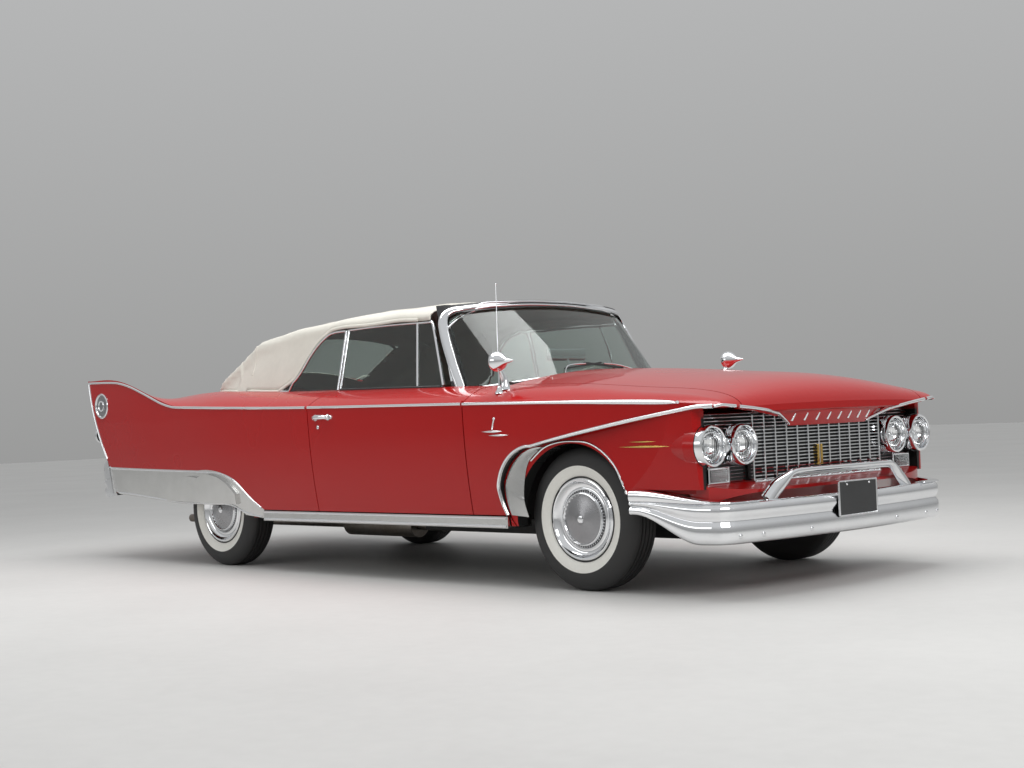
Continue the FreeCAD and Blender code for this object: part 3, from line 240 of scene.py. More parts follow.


def paints(red):
    """Red lacquer, and the two kinds of it with painted shadow: black inside the nose and on the front
    fenders' inner faces.
    """
    deep = darker(red, .94)
    make, shader = plain_finish("body paint", red, deep, (.26, .3), cloud=(.7, 2.5), **LACQUER)
    bumped(make, make.noise(55, 0, .5, make.object_place()), shader, .02, .0004)
    # nose panel paint with painted shadow: black above GRILLE_SHADOW_Z, behind the lamps and the grille
    make, shader = new_material("nose paint with painted shadow", Coat_Weight=.5, Coat_Roughness=.05)
    height = make.axes(make.object_place())["Z"]
    # the painted shadow's mask: the panel above GRILLE_SHADOW_Z
    above = make.spread(height, GRILLE_SHADOW_Z - .0005, GRILLE_SHADOW_Z + .0005)
    lower = make.mix_colour(grouped(make, "cloudy", Scale=2, Fine=20), (*red, 1), (*deep, 1))
    link(make, make.mix_colour(above, lower, (.02, .02, .021, 1)), shader, "Base Color")
    link(make, make.spread(above, 0, 1, .28, .6), shader, "Roughness")
    # fender paint with painted shade: black on faces not turned outwards below WING_SHADOW_Z, round the wheel
    # arches
    make, shader = plain_finish("wing paint with painted shade", red, deep, (.26, .3), **LACQUER)
    place = make.add("ShaderNodeTexCoord").outputs
    spot = make.axes(place["Object"])
    side = make.spread(spot["Y"], -.01, .01, -1, 1)
    facing = make.maths("MULTIPLY", make.axes(place["Normal"])["Y"], side)
    # the painted shade's mask: faces not turned outwards, below WING_SHADOW_Z
    inside = make.maths("MULTIPLY", make.spread(facing, .1, .02, 0, 1),
                        make.spread(spot["Z"], WING_SHADOW_Z + .01, WING_SHADOW_Z - .01, 0, 1))
    paint = shader.inputs["Base Color"].links[0].from_socket
    link(make, make.mix_colour(inside, paint, (.012, .012, .012, 1)), shader, "Base Color")
    link(make, make.spread(inside, 0, 1, .28, .9), shader, "Roughness")
    plain_finish("inner paint", darker(red, .6), deep, (.4, .5))


def glasses():
    """Window glass, the fluted lamp glass and the red lenses."""
    make, shader = new_material("tinted glass", Base_Color=(.58, .64, .61, 1), Roughness=0,
                                Transmission_Weight=1.0, IOR=1.45)
    link(make, make.spread(grouped(make, "cloudy", Scale=3, Fine=30), 0, 1, 0, .02), shader, "Roughness")
    make, shader = new_material("lamp glass", Base_Color=(.97, .98, .98, 1), Roughness=.02,
                                Transmission_Weight=1.0, IOR=1.46)
    flutes = make.add("ShaderNodeTexWave", {"Vector": make.object_place(), "Scale": 22}, bands_direction="Y")
    bumped(make, flutes.outputs["Fac"], shader, .5, .002)
    make, shader = new_material("ruby lens", Roughness=.08, Transmission_Weight=.35, IOR=1.5)
    mask = grouped(make, "cloudy", Scale=12, Fine=160)
    link(make, make.mix_colour(mask, (.55, .006, .005, 1), (.4, .004, .004, 1)), shader, "Base Color")


def cloths(canvas, vinyl):
    """The top's canvas and lining, the red vinyl and the carpet."""
    make, shader = plain_finish("top canvas", canvas, darker(canvas, .88), (.75, .9), cloud=(3, 26),
                                Sheen_Weight=.25, Sheen_Roughness=.5)
    bumped(make, grouped(make, "weave", Threads=1400), shader, .35, WEAVE_DEPTH)
    make, shader = plain_finish("top lining", (.1, .095, .09), (.07, .066, .062), (.8, .95))
    bumped(make, grouped(make, "weave", Threads=1600), shader, .3, WEAVE_DEPTH)
    make, shader = plain_finish("red vinyl", vinyl, darker(vinyl, .78), (.38, .52))
    bumped(make, grouped(make, "grain", Scale=420), shader, .18)
    make, shader = plain_finish("carpet", (.16, .01, .009), (.09, .006, .006), (.9, 1.0), cloud=(20, 260),
                                Sheen_Weight=.3)
    bumped(make, make.noise(700, 2, .6, make.object_place()), shader, .8, .004)


def make_materials(settings):
    paints(tuple(settings.body_colour))
    glasses()
    cloths(tuple(settings.canvas_colour), tuple(settings.seat_colour))
    for name, (colour, other, rough, metallic) in METALS.items():
        plain_finish(name, colour, other, rough, Metallic=metallic)
    plain_finish("stainless", (.66, .66, .65), (.58, .58, .57), (.16, .26), Metallic=1, cloud=(8, 200))
    plain_finish("wheel plastic", (.74, .72, .66), (.68, .65, .58), (.2, .3), Coat_Weight=.4)
    for name, (colour, other, rough) in COATINGS.items():
        plain_finish(name, colour, other, rough)
    for name, (colour, other, rough, group, values, strength) in TEXTURED.items():
        make, shader = plain_finish(name, colour, other, rough)
        bumped(make, grouped(make, group, **values), shader, strength)


# finish: how the names of the CAD nodes start that have it where they stay in view; the first that fits holds
NODE_FINISH = {
    # painted reflection: the windshield frame's bright metal gets black enamel for the dark surroundings it
    # reflects
    "black enamel": ("windshield_frame",),
    "tinted glass": ("windshield", "quarter_glass", "door_glass"),
    "chrome": ("fender_mirrors", "rim", "grille", "headlamps", "parking_lamps", "front_bumper", "rear_bumper",
               "tail_lamps"),
    # the front fenders' paint holds painted shade on their inner faces
    "wing paint with painted shade": ("fender",),
    # the nose panel's paint holds painted shadow behind the lamps and the grille
    "nose paint with painted shadow": ("nose_panel",),
    "body paint": ("cowl", "quarter", "rear_deck", "hood", "trunk_lid", "door"),
    "underseal": ("floor_pan", "chassis_frame", "fuel_tank", "rear_axle"),
    "stainless": ("sills", "lower_rear_panels"),
    "red vinyl": ("front_seat", "rear_seat", "dashboard"),
    "top canvas": ("soft_top",),
    "wheel plastic": ("steering_wheel",),
    "engine paint": ("engine",),
    "exhaust steel": ("exhaust",),
    "cast iron": ("knuckle",),
    "tyre rubber": ("tyre",),
}


def dress_frame():
    for name, node in NODES.items():
        node.data.materials.clear()
        finish = next(finish for finish, starts in NODE_FINISH.items() if name.startswith(starts))
        node.data.materials.append(MATERIALS[finish])


# ---- mesh helpers

def add_object(name, data):
    item = bpy.data.objects.new(name, data)
    bpy.context.scene.collection.objects.link(item)
    return item


def new_piece(bm, name, *finishes):
    """The bmesh as an object with its materials."""
    mesh = bpy.data.meshes.new(name)
    bm.to_mesh(mesh)
    bm.free()
    for finish in finishes:
        mesh.materials.append(MATERIALS[finish])
    return add_object(name, mesh)


def settle(bm, name, slot, *finishes, body="body", crease=35, pair=False):
    """Turn a finished bmesh into a piece: merge doubles, face outwards, smooth with crisp creases."""
    if pair:
        both_sides(bm)
    bmesh.ops.remove_doubles(bm, verts=bm.verts, dist=1e-5)
    bmesh.ops.recalc_face_normals(bm, faces=bm.faces)
    for face in bm.faces:
        face.smooth = True
    for edge in bm.edges:
        if len(edge.link_faces) == 2:
            edge.smooth = edge.calc_face_angle(0) < radians(crease)
    piece = new_piece(bm, name, *finishes)
    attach(piece, body)
    return piece


def bright(bm, name, body="body", crease=50, pair=False):
    """A chromed piece."""
    return settle(bm, name, "chrome", "chrome", body=body, crease=crease, pair=pair)


def edge_frame(bm, corners, out, width, depth, points=6):
    """A domed strip along each side of a flat shape."""
    for one, two in zip(corners, corners[1:] + corners[:1]):
        strip(bm, [Vector(one), Vector(two)], out, width, depth, points)


def mark(bm, faces_before, index):
    """Give every face made since then one material index."""
    for face in list(bm.faces)[faces_before:]:
        face.material_index = index


def both_sides(bm):
    """Add the mirror image of everything on the car's other side."""
    whole = bmesh.ops.duplicate(bm, geom=bm.verts[:] + bm.edges[:] + bm.faces[:])["geom"]
    twins = [item for item in whole if isinstance(item, bmesh.types.BMVert)]
    bmesh.ops.scale(bm, vec=(1, -1, 1), verts=twins)
    bmesh.ops.reverse_faces(bm, faces=[item for item in whole if isinstance(item, bmesh.types.BMFace)])


def curve_between(a, b, c, d, t):
    """A place between b and c on the smooth line through four places."""
    return .5 * (2 * b + (c - a) * t + (2 * a - 5 * b + 4 * c - d) * t * t
                 + (3 * b - a - 3 * c + d) * t ** 3)


def smooth_path(points, steps=8):
    """A smooth line through a few chosen points."""
    points = [Vector(point) for point in points]
    line = []
    for i in range(len(points) - 1):
        a, b = points[max(i - 1, 0)], points[i]
        c, d = points[i + 1], points[min(i + 2, len(points) - 1)]
        line += [curve_between(a, b, c, d, step / steps) for step in range(steps)]
    line.append(points[-1])
    return line


def flat_path(points, steps):
    """A smooth line through (x, z) points."""
    return [(v.x, v.z) for v in smooth_path([(x, 0, z) for x, z in points], steps)]


def mirrored(points):
    """A line from the right side to the middle, carried on to the left side."""
    return points + [Vector((p[0], -p[1], p[2])) for p in reversed(points[:-1])]


def frame_at(place, across, out, along):
    return Matrix.Translation(place) @ Matrix((across, out, along)).transposed().to_4x4()


def stations(line, outs, sizes=None):
    """A frame at each point of a line: width direction, outward direction, the way along."""
    line = [Vector(place) for place in line]
    frames = []
    for i, here in enumerate(line):
        along = (line[min(i + 1, len(line) - 1)] - line[max(i - 1, 0)]).normalized()
        out = outs[i] if isinstance(outs, list) else Vector(outs)
        across = along.cross(out).normalized()
        out = across.cross(along).normalized()
        wide, deep = sizes[i] if sizes else (1, 1)
        frames.append(frame_at(here, across * wide, out * deep, along))
    return frames


def sweep(bm, profile, frames, close=False):
    """Carry a closed profile of (across, out) points along frames, with filled ends."""
    ring = [bm.verts.new(frames[0] @ Vector((a, b, 0))) for a, b in profile]
    first = edges = [bm.edges.new((ring[i], ring[(i + 1) % len(ring)])) for i in range(len(ring))]
    here = frames[0]
    rest = frames[1:] + ([frames[0]] if close else [])
    for there in rest:
        grown = bmesh.ops.extrude_edge_only(bm, edges=edges)["geom"]
        verts = [item for item in grown if isinstance(item, bmesh.types.BMVert)]
        edges = [item for item in grown if isinstance(item, bmesh.types.BMEdge)
                 and all(v in verts for v in item.verts)]
        bmesh.ops.transform(bm, matrix=there @ here.inverted(), verts=verts)
        here = there
    if not close:
        bmesh.ops.contextual_create(bm, geom=first)
        bmesh.ops.contextual_create(bm, geom=edges)


def half_round(width, depth, points=6):
    """A trim strip's section: flat behind and domed in front, a little below the surface."""
    arc = [(-width / 2 * cos(pi * i / points), depth * sin(pi * i / points))
           for i in range(points + 1)]
    return arc + [(width / 2, -.003), (-width / 2, -.003)]


def strip(bm, line, outs, width, depth, points=6, sizes=None):
    """A domed trim strip along a line."""
    sweep(bm, half_round(width, depth, points), stations(line, outs, sizes))


def circle(radius, points=12):
    return [(radius * cos(2 * pi * i / points), radius * sin(2 * pi * i / points))
            for i in range(points)]


def tube(bm, line, radius, points=10, radii=None, up=(0, 0, 1)):
    """A round bar along a line."""
    sizes = [(r / radius, r / radius) for r in radii] if radii else None
    sweep(bm, circle(radius, points), stations(line, up, sizes))


def lathe(bm, profile, centre, axis="y", steps=64, side=RIGHT):
    """A turned piece: (distance out along the axis, radius) points spun about the axis."""
    centre = Vector(centre)
    way = {"x": Vector((1, 0, 0)), "y": Vector((0, side, 0)), "z": UP}[axis]
    across = UP if axis != "z" else Vector((1, 0, 0))
    verts = [bm.verts.new(centre + way * out + across * max(radius, 0)) for out, radius in profile]
    edges = [bm.edges.new(pair) for pair in zip(verts, verts[1:])]
    bmesh.ops.spin(bm, geom=verts + edges, cent=centre, axis=way, angle=2 * pi, steps=steps,
                   use_merge=True)


def ball(bm, place, radius, segments=10, rings=6, depth=1):
    """A small round head, flattened along the car where its depth is below 1."""
    verts = bmesh.ops.create_uvsphere(bm, u_segments=segments, v_segments=rings, radius=radius)["verts"]
    bmesh.ops.scale(bm, vec=(depth, 1, 1), verts=verts)
    bmesh.ops.translate(bm, vec=place, verts=verts)


def turned_and_moved(bm, first, shift, *turns):
    """Turn every vertex from the first new one on, by (degrees, axis) pairs, then move it."""
    fresh = list(bm.verts)[first:]
    for degrees, axis in turns:
        bmesh.ops.rotate(bm, verts=fresh, matrix=Matrix.Rotation(radians(degrees), 3, axis))
    bmesh.ops.translate(bm, verts=fresh, vec=shift)


def rounded_box(bm, low, high, radius=.01, segments=3):
    """A block between two corners with rounded edges."""
    low, high = Vector(low), Vector(high)
    made = bmesh.ops.create_cube(bm, size=1)["verts"]
    bmesh.ops.scale(bm, vec=high - low, verts=made)
    bmesh.ops.translate(bm, vec=(low + high) / 2, verts=made)
    edges = {edge for vert in made for edge in vert.link_edges}
    bmesh.ops.bevel(bm, geom=list(edges), offset=radius, segments=segments, profile=.5, material=-1,
                    affect="EDGES")


class Surface:
    """The outside of some CAD nodes, to lay trims on."""

    def __init__(self, *names):
        verts, faces = [], []
        for name in names:
            mesh = NODES[name].data
            start = len(verts)
            verts += [v.co.copy() for v in mesh.vertices]
            faces += [[start + i for i in p.vertices] for p in mesh.polygons]
        self.tree = BVHTree.FromPolygons(verts, faces)

    def cast(self, start, way, nearby=None):
        """Where a ray meets the surface, or its place nearest to a point where it passes by."""
        place, normal, _, _ = self.tree.ray_cast(Vector(start), Vector(way), 6)
        if place is None:
            if nearby is None:
                raise RuntimeError("no surface below a trim at %s" % (tuple(start),))
            place, normal, _, _ = self.tree.find_nearest(Vector(nearby))
        return place, normal if normal.dot(Vector(way)) < 0 else -normal

    def side(self, x, z):
        """The right side at one place."""
        return self.cast((x, -2, z), (0, 1, 0), (x, -.95, z))

    def front(self, y, z, start=4):
        """The front at one place."""
        return self.cast((start, y, z), (-1, 0, 0), (2.56, y, z))

    def top(self, x, y):
        return self.cast((x, y, 3), (0, 0, -1))

    def near(self, point, way):
        """The place nearest to a point, with the normal turned to the given side."""
        place, normal, _, _ = self.tree.find_nearest(Vector(point))
        return place, normal if normal.dot(way) > 0 else -normal

    def rear_edge(self, z):
        """The (x, z) place just inside the rearmost end of the right side at one height."""
        x = -2.7
        while self.tree.ray_cast(Vector((x, -2, z)), Vector((0, 1, 0)), 1.6)[0] is None:
            x += .002
        return x + .01, z


def side_strip(bm, surface, path, width, depth, sizes=None):
    """A trim strip laid on the car's right side along (x, z) points."""
    hits = [surface.side(x, z) for x, z in path]
    line, outs = [place for place, _ in hits], [normal for _, normal in hits]
    return strip(bm, line, outs, width, depth, sizes=sizes)


def on_doors(name, slot, finish, crease, shape):
    """The same piece on both doors: shape makes it for the right one."""
    for label, side in SIDES:
        bm = bmesh.new()
        shape(bm)
        if side == LEFT:
            bmesh.ops.scale(bm, vec=(1, -1, 1), verts=bm.verts)
            bmesh.ops.reverse_faces(bm, faces=bm.faces)
        settle(bm, name + "_" + label, slot, finish, body="door_" + label, crease=crease)


# ---- wheels

CORNERS = [(end + "_" + side, axle, sign) for end, axle in (("front", FRONT_AXLE), ("rear", REAR_AXLE))
           for side, sign in SIDES]
# radius, distance out from the wheel's middle plane, from the bead to the tread's edge
SIDEWALL = [
    (.19, .06), (.195, .07), (.199, .075), (.214, .084), (.233, .0905), (.25, .0935),
    (.262, .094), (.284, .091), (.303, .085), (.317, .077), (.326, .068), (.331, .061)]
TREAD_GROOVES = (.036, .013, -.013, -.036)
BAND_START = .199


def wheel_centre(axle, side):
    return Vector((axle.x, side * abs(axle.y), axle.z))


def tyre_piece(tag, axle, side, band_width):
    bm = bmesh.new()
    outer = [(out, r) for r, out in SIDEWALL] + [(.053, TYRE_RADIUS)]
    tread = []
    for groove in TREAD_GROOVES:
        tread += [(groove + .004, TYRE_RADIUS), (groove + .003, TYRE_RADIUS - .006),
                  (groove - .003, TYRE_RADIUS - .006), (groove - .004, TYRE_RADIUS)]
    inner = [(-out, r) for out, r in reversed(outer)]
    lathe(bm, outer + tread + inner + [outer[0]], wheel_centre(axle, side), "y", 96, side=side)
    centre = wheel_centre(axle, side)
    for face in bm.faces:
        place = face.calc_center_median() - centre
        radius = hypot(place.x, place.z)
        if BAND_START < radius < BAND_START + band_width and place.y * side > 0:
            face.material_index = 1
    name = "tyre_" + tag
    piece = settle(bm, name + "_dressed", "tyre", "tyre rubber", "white band", body="wheel_" + tag,
                   crease=40)
    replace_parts(piece, name)


def rim_piece(tag, axle, side, ribs_count):
    """The steel rim with its drum, and the full wheel cover with a ribbed ring."""
    centre = wheel_centre(axle, side)
    bm = bmesh.new()
    barrel = [(-.076, .181), (-.076, .199), (-.066, .1985), (-.058, .188), (-.03, .186), (-.01, .17),
              (.03, .17), (.05, .187), (.062, .19), (.072, .2), (.078, .2), (.078, .196),
              (.07, .186), (.052, .18), (.02, .164), (-.06, .176), (-.076, .181)]
    lathe(bm, barrel, centre, "y", side=side)
    drum = [(-.082, .034), (-.082, .12), (-.078, .132)]
    for fin in range(6):
        drum += [(-.072 + fin * .01, .14), (-.067 + fin * .01, .134)]
    drum += [(-.006, .128), (.002, .1), (.002, .034), (-.082, .034)]
    lathe(bm, drum, centre, "y", side=side)
    piece = settle(bm, "rim_%s_dressed" % tag, "chrome", "black enamel", body="wheel_" + tag, crease=30)
    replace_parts(piece, "rim_" + tag)

    bm = bmesh.new()
    bands = (
        (0, 96, [(.07, .194), (.078, .1935), (.083, .19), (.0845, .185), (.082, .18), (.074, .175),
                 (.066, .168), (.061, .16), (.059, .15), (.06, .142), (.064, .136)]),
        (1, 96, [(.064, .136), (.066, .134), (.068, .126)]),
        (0, 96, [(.068, .126), (.075, .1255), (.08, .123), (.081, .119), (.078, .116), (.072, .114)]),
        (2, 64, [(.072, .114), (.073, .105), (.077, .085), (.083, .055), (.088, .03), (.0905, .018)]),
        (0, 32, [(.0905, .018), (.0935, .0165), (.095, .012), (.096, 0)]))
    for index, steps, profile in bands:
        before = len(bm.faces)
        lathe(bm, profile, centre, "y", steps, side=side)
        mark(bm, before, index)
    for step in range(ribs_count):
        angle = 2 * pi * step / ribs_count
        ribs = bmesh.ops.create_cube(bm, size=1)["verts"]
        bmesh.ops.scale(bm, vec=(.003, .003, .009), verts=ribs)
        bmesh.ops.translate(bm, verts=ribs, vec=(0, side * .067, .13))
        bmesh.ops.rotate(bm, verts=ribs, matrix=Matrix.Rotation(angle, 3, "Y"))
        bmesh.ops.translate(bm, verts=ribs, vec=centre)
    settle(bm, "wheel_cover_" + tag, "chrome", "chrome", "dark steel", "grey steel", body="wheel_" + tag,
           crease=28)


# ---- bumpers

BUMPER_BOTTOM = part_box("front_bumper")[0].z
# A pressed blade: height above its bottom edge, distance out from its face line.
BLADE = [
    (.004, -.05), (0, -.016), (.006, -.003), (.02, .002), (.05, .003), (.062, -.001),
    (.07, -.009), (.076, -.01), (.086, -.003), (.1, .003), (.112, .002), (.122, -.004),
    (.129, -.016), (.132, -.034), (.13, -.052)]
BLADE_HEIGHT = .132


def plan_line(points, steps=10):
    """A smooth level line through (x, y) points given for the right side, closed by symmetry."""
    right = [Vector((x, -y, 0)) for x, y in points]
    return smooth_path(mirrored(right), steps)


def blade_frames(line, heights, outwards):
    """Frames along a level line; heights gives (bottom, top) at a place."""
    frames = []
    for i, here in enumerate(line):
        along = (line[min(i + 1, len(line) - 1)] - line[max(i - 1, 0)]).normalized()
        out = along.cross(UP).normalized()
        if out.x * outwards < 0 and abs(out.x) > .2 or out.y * here.y < 0 and abs(out.x) <= .2:
            out = -out
        low, top = heights(here)
        frames.append(frame_at((here.x, here.y, low), Vector((0, 0, (top - low) / BLADE_HEIGHT)), out, along))
    return frames


def blend_over(value, start, end, low, high):
    """An eased step from low to high while value goes from start to end."""
    t = min(max((value - start) / (end - start), 0), 1)
    return low + (high - low) * t * t * (3 - 2 * t)


FRONT_BLADE = [
    (2.098, .946), (2.2, .939), (2.3, .9285), (2.4, .917), (2.492, .899), (2.54, .884),
    (2.563, .862), (2.58, .832), (2.592, .795), (2.612, .66), (2.638, .42), (2.651, .21), (2.656, 0)]


def front_bumper():
    """The blade, the pointed bright caps on its outer ends, the hoop over the plate and the bolts."""
    line = plan_line(FRONT_BLADE, 6)

    def heights(here):
        return blend_over(here.x, 2.12, 2.46, .366, BUMPER_BOTTOM), blend_over(here.x, 2.15, 2.52, .432, .42)

    bm = bmesh.new()
    sweep(bm, BLADE, blade_frames(line, heights, 1))
    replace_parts(bright(bm, "front_bumper_blade"), "front_bumper")

    def cap_heights(here):
        return (heights(here)[1] - .004,
                blend_over(here.x, 2.6, 2.12, .424, .476) if here.x < 2.6 else .424)

    bm = bmesh.new()
    outer = [v for v in line if v.y < -.66]
    cap = [(0, -.046), (0, .003), (.04, .007), (.09, .006), (.118, .001), (.132, -.012), (.132, -.046)]
    sweep(bm, cap, blade_frames(outer, cap_heights, 1))
    bright(bm, "front_bumper_caps", pair=True)

    bm = bmesh.new()
    hoop = [(2.576, -.566, .41), (2.58, -.505, .462), (2.59, -.43, .512), (2.594, -.398, .526),
            (2.597, -.35, .532), (2.603, -.15, .533), (2.604, 0, .533)]
    ring = smooth_path(mirrored(hoop), 6)
    section = [(-.017, -.011), (-.012, .008), (-.004, .013), (.004, .013), (.012, .008), (.017, -.011)]
    sizes = [(1 + 1.1 * blend_over(abs(v.y), .4, .5, 0, 1), 1.2) for v in ring]
    sweep(bm, section, stations(ring, (1, 0, .35), sizes))
    bright(bm, "front_bumper_hoop")

    bm = bmesh.new()
    for y in (.34, .66, .8):
        foot = min(line, key=lambda v: abs(v.y + y))
        ball(bm, foot + Vector((.001, 0, BUMPER_BOTTOM + .034)), .012, 14, 8, depth=.6)
    bright(bm, "front_bumper_bolts", crease=35, pair=True)


REAR_BLADE = [
    (-2.452, .94), (-2.48, .93), (-2.505, .918), (-2.545, .893), (-2.568, .864), (-2.588, .825),
    (-2.602, .78), (-2.618, .66), (-2.64, .4), (-2.652, .2), (-2.656, 0)]


def rear_bumper():
    """The blade and the raised guards on its outer ends."""
    low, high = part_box("rear_bumper")
    line = plan_line(REAR_BLADE, 6)
    middle_top = .53
    bm = bmesh.new()
    sweep(bm, BLADE, blade_frames(line, lambda here: (low.z, middle_top), -1))
    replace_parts(bright(bm, "rear_bumper_blade"), "rear_bumper")
    bm = bmesh.new()
    outer = [v for v in line if v.y < -.74]
    guard = [(0, -.046), (0, .003), (.03, .007), (.07, .006), (.1, .002), (.124, -.008), (.132, -.024),
             (.132, -.046)]

    def guard_heights(here):
        return middle_top - .004, blend_over(abs(here.y), .74, .8, middle_top + .02, high.z + .012)

    sweep(bm, guard, blade_frames(outer, guard_heights, -1))
    bright(bm, "rear_bumper_guards", pair=True)


# ---- side trims

BELT = [(-1.531, .964), (-.726, .935), (-.142, .919), (.604, .905), (1.08, .896), (1.649, .883),
        (2.059, .87), (2.405, .856)]
FIN_CREST = [
    (-1.531, .964), (-1.6, .972), (-1.718, .998), (-1.9, 1.056), (-2.089, 1.112), (-2.245, 1.142),
    (-2.4, 1.152), (-2.55, 1.156), (-2.64, 1.158)]
PANEL_JOINTS = (
    ("quarter_right", -1.531, -.1875), ("door_right", -.169, 1.0635), ("fender_right", 1.0735, 2.39))


def along_path(points, x_low, x_high, steps=10):
    """The part of a smooth (x, z) path between two x places, with its ends cut exactly."""
    line = flat_path(points, steps)

    def at(x):
        for (x0, z0), (x1, z1) in zip(line, line[1:]):
            if min(x0, x1) <= x <= max(x0, x1):
                return z0 + (z1 - z0) * (x - x0) / (x1 - x0)
        return line[-1][1]

    inner = [(x, z) for x, z in line if x_low < x < x_high]
    return [(x_low, at(x_low))] + inner + [(x_high, at(x_high))]


def belt_strips(width):
    for node, x_low, x_high in PANEL_JOINTS:
        surface = Surface(node)
        path = along_path(BELT, x_low + .001, x_high - .001, 26)
        sizes = []
        for x, _ in path:
            point = sqrt(max(1 - max((x - 2.235) / .1545, 0) ** 2, .004))
            spear = blend_over(x, 1.55, 2.15, 1, 1.5) * point
            sizes.append((spear, blend_over(x, 1.55, 2.15, 1, 1.4)))

        def belt(bm):
            side_strip(bm, surface, path, width, width / 2, sizes)

        if node == "door_right":
            on_doors("belt_strip_door", "chrome", "chrome", 50, belt)
        else:
            bm = bmesh.new()
            belt(bm)
            bright(bm, "belt_strip_" + node.split("_")[0], pair=True)


def side_trim(name, surface, routes, width, depth, slot="chrome", finish="chrome"):
    """Strips laid along (x, z) routes on the right side, and their mirror image."""
    bm = bmesh.new()
    for route in routes:
        side_strip(bm, surface, route, width, depth)
    settle(bm, name, slot, finish, crease=50, pair=True)


def fin_strips(width):
    """The bright edge along the fin's crest and down its rear edge."""
    surface = Surface("quarter_right")
    down = [surface.rear_edge(z) for z in (1.15, 1.1, 1.04, .98, .92, .86, .8, .74, .69, .655)]
    side_trim("fin_strip_crest", surface, [flat_path(FIN_CREST, 6)], width, width / 2)
    side_trim("fin_strip_rear_edge", surface, [down], width, width / 2)


# ---- brow, arch and lip trims

def arc_points(start, middle, end, steps):
    """Points along the arc through three (x, z) points, from the start up to the end."""
    (ax, az), (bx, bz), (cx, cz) = start, middle, end
    spin = 2 * (ax * (bz - cz) + bx * (cz - az) + cx * (az - bz))
    squares = [x * x + z * z for x, z in (start, middle, end)]
    centre = Vector(((squares[0] * (bz - cz) + squares[1] * (cz - az) + squares[2] * (az - bz)) / spin,
                     (squares[0] * (cx - bx) + squares[1] * (ax - cx) + squares[2] * (bx - ax)) / spin))
    radius = (Vector(start) - centre).length
    line = [Vector(start).lerp(Vector(end), i / steps) for i in range(steps)]
    middles = Vector(middle) - centre
    return [centre + (p - centre).normalized() * radius if (p - centre).dot(middles) > 0 else p for p in line]


def away_from_wheel(points, distance):
    """The same (x, z) points moved straight away from the front wheel's middle."""
    hub = Vector((FRONT_AXLE.x, FRONT_AXLE.z))
    return [tuple(Vector(p) + (Vector(p) - hub).normalized() * distance) for p in points]


BROW_TAIL = arc_points((1.52, .68), (1.335, .6), (1.279, .49), 7) \
    + arc_points((1.279, .49), (1.297, .4), (1.373, .28), 5)
BROW_EDGE = [Vector((2.54, .8315)), Vector((2.5, .8315))] \
    + arc_points((2.455, .83), (2.1, .78), (1.52, .68), 9) + BROW_TAIL
BROW = away_from_wheel([p for p in BROW_EDGE if p[1] > .325], .006)
ARCH = [
    (1.452, .345), (1.424, .43), (1.43, .53), (1.462, .612), (1.548, .672), (1.64, .696),
    (1.736, .7), (1.83, .69), (1.914, .65), (1.982, .59), (2.022, .523), (2.05, .45)]


def brow_strip(width):
    surface = Surface("fender_right")
    path = flat_path(BROW, 6)
    sizes = [(blend_over(x, 1.3, 2.0, .9, 1.25), 1.2) for x, _ in path]
    bm = bmesh.new()
    side_strip(bm, surface, path, width, width * .56, sizes)
    bright(bm, "brow_strip", pair=True)


PANEL_TOP, PANEL_BOTTOM = .802, .737


def panel_point(y, z):
    """A place on the hood's slanting middle panel."""
    down = (PANEL_TOP - z) / (PANEL_TOP - PANEL_BOTTOM)
    crown = .03 * (y / .42) ** 2
    return Vector((2.571 - crown - .042 * down, y, z))


def hood_panel():
    """The red middle panel that slants in below the hood's edge."""
    bm = bmesh.new()
    columns, rows = 24, 6
    bmesh.ops.create_grid(bm, x_segments=columns, y_segments=rows, size=1)
    for vert in bm.verts:
        down = (1 - vert.co.y) / 2
        z = PANEL_TOP + (PANEL_BOTTOM - PANEL_TOP) * down
        vert.co = panel_point(vert.co.x * (.425 - .117 * down), z)
    bmesh.ops.solidify(bm, geom=bm.faces[:], thickness=.004)
    settle(bm, "hood_middle_panel", "paint", "body paint", body="hood", crease=40)


def hood_lip_strips():
    """From each fender tip down the hood's lip and round the corner of its middle panel."""
    surface = Surface("hood", "fender_right")
    lip = [(-.845, .838), (-.75, .83), (-.6, .815), (-.5, .801), (-.44, .79)]
    places = [surface.front(v.y, v.z)[0] for v in smooth_path([(0, y, z) for y, z in lip], 6)]
    turn = [Vector((2.549, -.888, .8345)), Vector((2.557, -.872, .8355))]
    fender_end = turn + [here for here in places if -.85 < here.y < -.766]
    hood_end = [here for here in places if here.y > -.764]
    corner = [(-.395, .776), (-.36, .764), (-.332, .751), (-.313, .74)]
    hood_end += [panel_point(y, z) + Vector((.004, 0, 0)) for y, z in corner]
    line = smooth_path(hood_end[::3] + [hood_end[-1]], 5)
    for name, body, points in (("fender", "body", fender_end), ("hood", "hood", line)):
        bm = bmesh.new()
        sizes = [(1 - .5 * blend_over(i, len(points) - 8, len(points) - 1, 0, 1 if body == "hood" else 0), 1)
                 for i in range(len(points))]
        outs = [Vector((1, 0, -.15))] * len(points)
        if name == "fender":
            outs[:2] = [Vector((.35, -.93, 0)), Vector((.7, -.7, 0))]
        strip(bm, points, outs, .015, .008, sizes=sizes)
        bright(bm, "lip_strip_" + name, body, pair=True)


def arch_strip():
    """The thin strip over the front wheel's arch."""
    side_trim("arch_strip", Surface("fender_right"), [flat_path(ARCH[3:], 6)], .01, .005)


